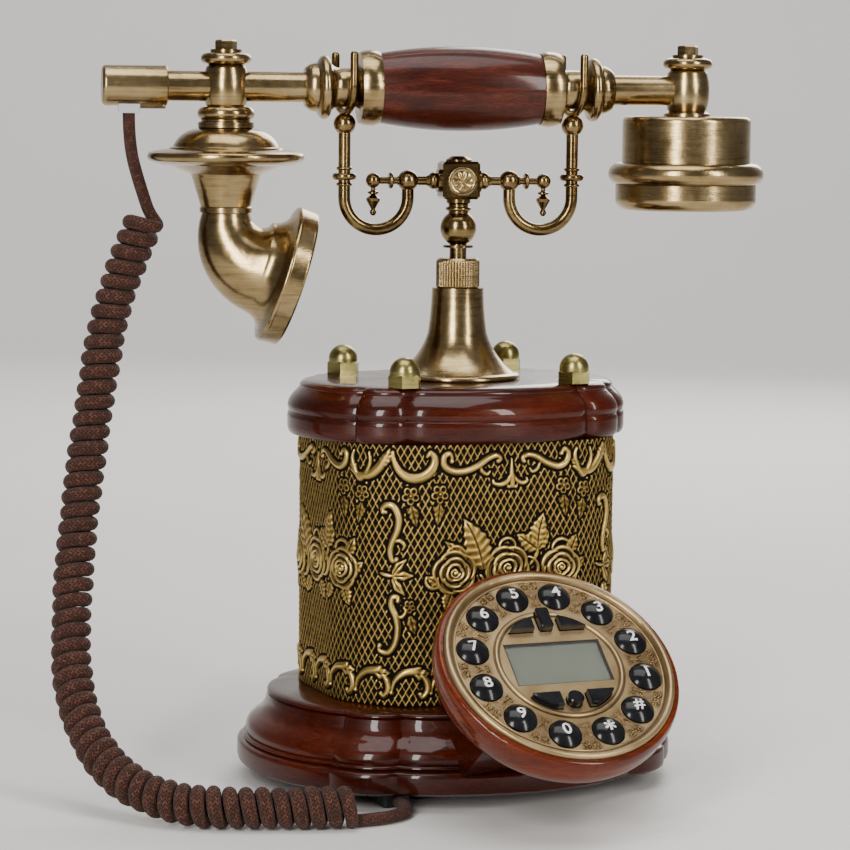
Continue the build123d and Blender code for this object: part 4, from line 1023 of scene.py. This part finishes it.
def wire(points, radius):
    """Points and faces of a round wire along points in the dial's own distances."""
    line = np.array(points, float)
    way, first, second = directions(line)
    spin = np.linspace(0, 2 * pi, WIRE_SIDES, endpoint=False)
    taper = radius * np.clip(np.sin(np.linspace(0.12, pi - 0.12, len(line))) * 1.6, 0.35, 1)[:, None, None]
    rings = line[:, None, :] + taper * (np.cos(spin)[None, :, None] * first[:, None, :]
                                        + np.sin(spin)[None, :, None] * second[:, None, :])
    return rings.reshape(-1, 3), strip_faces(len(line), WIRE_SIDES, True)


scroll_points, scroll_faces, filled = [], [], 0
for gap in range(12):
    middle = radians(30 * gap)
    out_way, side_way = np.array((sin(middle), cos(middle))), np.array((cos(middle), -sin(middle)))
    curves = []
    for hand in (-1, 1):
        s = np.linspace(0, 1, 46)
        angle = 0.4 + s * 2 * pi * 1.7
        reach = 2.0 * (1 - 0.85 * s)
        local_u, local_v = hand * (2.1 + reach * np.cos(angle)), 38.2 + reach * np.sin(angle)
        curves.append((local_u, local_v, 0.32))
        s = np.linspace(0, 1, 30)
        curves.append((hand * (0.3 + 3.3 * s), 36.6 + 3.1 * np.sin(s * 2.6) - 1.2 * s, 0.26))
        angle = 2.4 + s * 2 * pi * 1.1
        reach = 1.0 * (1 - 0.8 * s)
        curves.append((hand * (1.0 + reach * np.cos(angle)), 29.4 + reach * np.sin(angle), 0.24))
        curves.append((hand * (0.2 + 1.7 * s), 31.0 + 3.4 * s ** 0.8, 0.24))
    s = np.linspace(0, 1, 20)
    curves.append((0 * s, 28.0 + 5.6 * s, 0.24))
    for across_line, up_line, size in curves:
        flat = across_line[:, None] * side_way + up_line[:, None] * out_way
        line = np.column_stack([flat, np.full(len(flat), 0.03)])
        wire_points, wire_faces = wire(line, size)
        scroll_points.append(on_dial(wire_points[:, 0], wire_points[:, 1], wire_points[:, 2]))
        scroll_faces += [tuple(filled + i for i in face) for face in wire_faces]
        filled += len(wire_points)
make_piece("dial_scrolls", np.concatenate(scroll_points), scroll_faces, "dark_brass", "base")


RING_POINTS = 24


def bevelled_ring(outer, inner, low, high, bevel):
    """Points and faces of a flat rounded frame: rows from the outer foot over the top to the inner foot."""
    rows = []
    levels = ((outer, 0.8, low), (outer, 0.8, high - bevel), ([x - bevel for x in outer], 0.6, high),
        ([x + bevel for x in inner], 0.5, high), (inner, 0.4, high - bevel), (inner, 0.4, low))
    for (half_u, half_v), r, w in levels:
        ring = []
        for corner, (su, sv) in enumerate(((1, 1), (-1, 1), (-1, -1), (1, -1))):
            for k in range(6):
                angle = radians(90 * corner + 18 * k)
                ring.append((su * (half_u - r) + r * cos(angle), sv * (half_v - r) + r * sin(angle), w))
        rows.append(ring)
    return np.array(rows).reshape(-1, 3), strip_faces(6, RING_POINTS, True)


WINDOW_UP = 1
PANE_ROWS = 4


def in_window(points):
    """Points of the display's window, placed on the dial."""
    return on_dial(points[:, 0], points[:, 1] + WINDOW_UP, points[:, 2])


points, faces = bevelled_ring((19.55, 9.85), (19.0, 9.3), -1.9, -0.35, 0.15)
make_piece("display_gasket", in_window(points), faces, "black_plastic", "base")
points, _ = bevelled_ring((19.1, 9.4), (0.9, 0.9), -1.9, -0.8, 0.12)
faces = strip_faces(PANE_ROWS, RING_POINTS, True) + end_caps(PANE_ROWS, RING_POINTS)
pane = make_piece("display_pane", in_window(points[:PANE_ROWS * RING_POINTS]), faces, "display_glass", "base",
    smooth=False)
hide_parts("display_window")

NUMBER_KEYS = {text: 15 + 30 * k for k, text in enumerate("4321#*098765")}
KEY_NAMES = {"#": "hash", "*": "star"}
DIGIT_SIZE, STAR_SIZE, PAINT_GAP = 7, 10, 0.03
KEY_CIRCLE_R, KEY_R, DOME_BASE, DOME = 33.6, 6.15, 0.8, 2.3
DOME_R = (KEY_R ** 2 + DOME ** 2) / (2 * DOME)


def dome_height(u, v):
    """How far the key's dome stands out, at a distance from its middle."""
    return DOME_BASE + DOME - DOME_R + np.sqrt(np.clip(DOME_R ** 2 - u ** 2 - v ** 2, 0, None))


def printed_mark(text, size):
    """Flat printed lettering as fine triangles, in mm about its own middle."""
    curve = bpy.data.curves.new("mark", "FONT")
    curve.body, curve.size, curve.align_x, curve.align_y = text, size, "CENTER", "CENTER"
    curve.offset = 0.016 * size
    carrier = add_object("mark", curve)
    bpy.context.view_layer.update()
    mesh = bpy.data.meshes.new_from_object(carrier)
    fine = bmesh.new()
    fine.from_mesh(mesh)
    bmesh.ops.triangulate(fine, faces=fine.faces[:])
    for _ in range(3):
        long_edges = [e for e in fine.edges if e.calc_length() > 0.45]
        if long_edges:
            bmesh.ops.subdivide_edges(fine, edges=long_edges, cuts=1)
            bmesh.ops.triangulate(fine, faces=fine.faces[:])
    points = np.array([v.co for v in fine.verts])
    faces = [tuple(v.index for v in f.verts) for f in fine.faces]
    fine.free()
    bpy.data.objects.remove(carrier)
    bpy.data.curves.remove(curve)
    bpy.data.meshes.remove(mesh)
    points[:, :2] -= (points[:, :2].max(0) + points[:, :2].min(0)) / 2
    return points, faces


for text, clock in NUMBER_KEYS.items():
    points, faces = printed_mark(text, STAR_SIZE if text == "*" else DIGIT_SIZE)
    local_u, local_v = points[:, 0] * 1.02, points[:, 1] + 0.7
    centre_u, centre_v = (KEY_CIRCLE_R * f(radians(clock)) for f in (sin, cos))
    place = on_dial(local_u + centre_u, local_v + centre_v, dome_height(local_u, local_v) + PAINT_GAP)
    key = KEY_NAMES.get(text, text)
    make_piece(f"mark_{key}", place, faces, "key_gloss_black", f"key_{key}_cap", smooth=False, material=PAINT)

# ---- medallions on the cradle block

HEAD_TURN = radians(-12.5)
HEAD_X = np.array((cos(HEAD_TURN), sin(HEAD_TURN), 0))
HEAD_Y = np.array((-sin(HEAD_TURN), cos(HEAD_TURN), 0))
BAR_Z, MEDALLION_OUT = 238.5, 8.62
spokes, circles = 96, [0.0, 0.5, 1.0, 1.6, 2.2, 2.8, 3.4, 3.9, 4.3, 4.7, 4.95, 5.2, 5.5, 5.75, 5.9]
spin = np.linspace(0, 2 * pi, spokes, endpoint=False)
for face_sign, label in ((-1, "front"), (1, "back")):
    rows = []
    for r in circles:
        petals = np.abs(np.cos(4 * spin)) ** 0.6
        lift = 0.45 * petals * sin(pi * min(1, r / 4.4)) if r < 4.4 else 0
        lift = lift + (0.35 if 4.7 <= r <= 5.5 else 0) + (0.3 if r < 0.8 else 0)
        out = face_sign * (MEDALLION_OUT + (lift if r < 5.9 else -0.3))
        rows.append(r * np.cos(spin)[:, None] * HEAD_X + r * np.sin(spin)[:, None] * np.array((0, 0, 1.0))
                    + np.broadcast_to(np.asarray(out)[..., None] * HEAD_Y, (spokes, 3)) + np.array((0, 0, BAR_Z)))
    faces = strip_faces(len(rows), spokes, True)
    if face_sign > 0:
        faces = [tuple(reversed(face)) for face in faces]
    make_piece(f"medallion_{label}", np.concatenate(rows), faces, "antique_brass", "cradle")
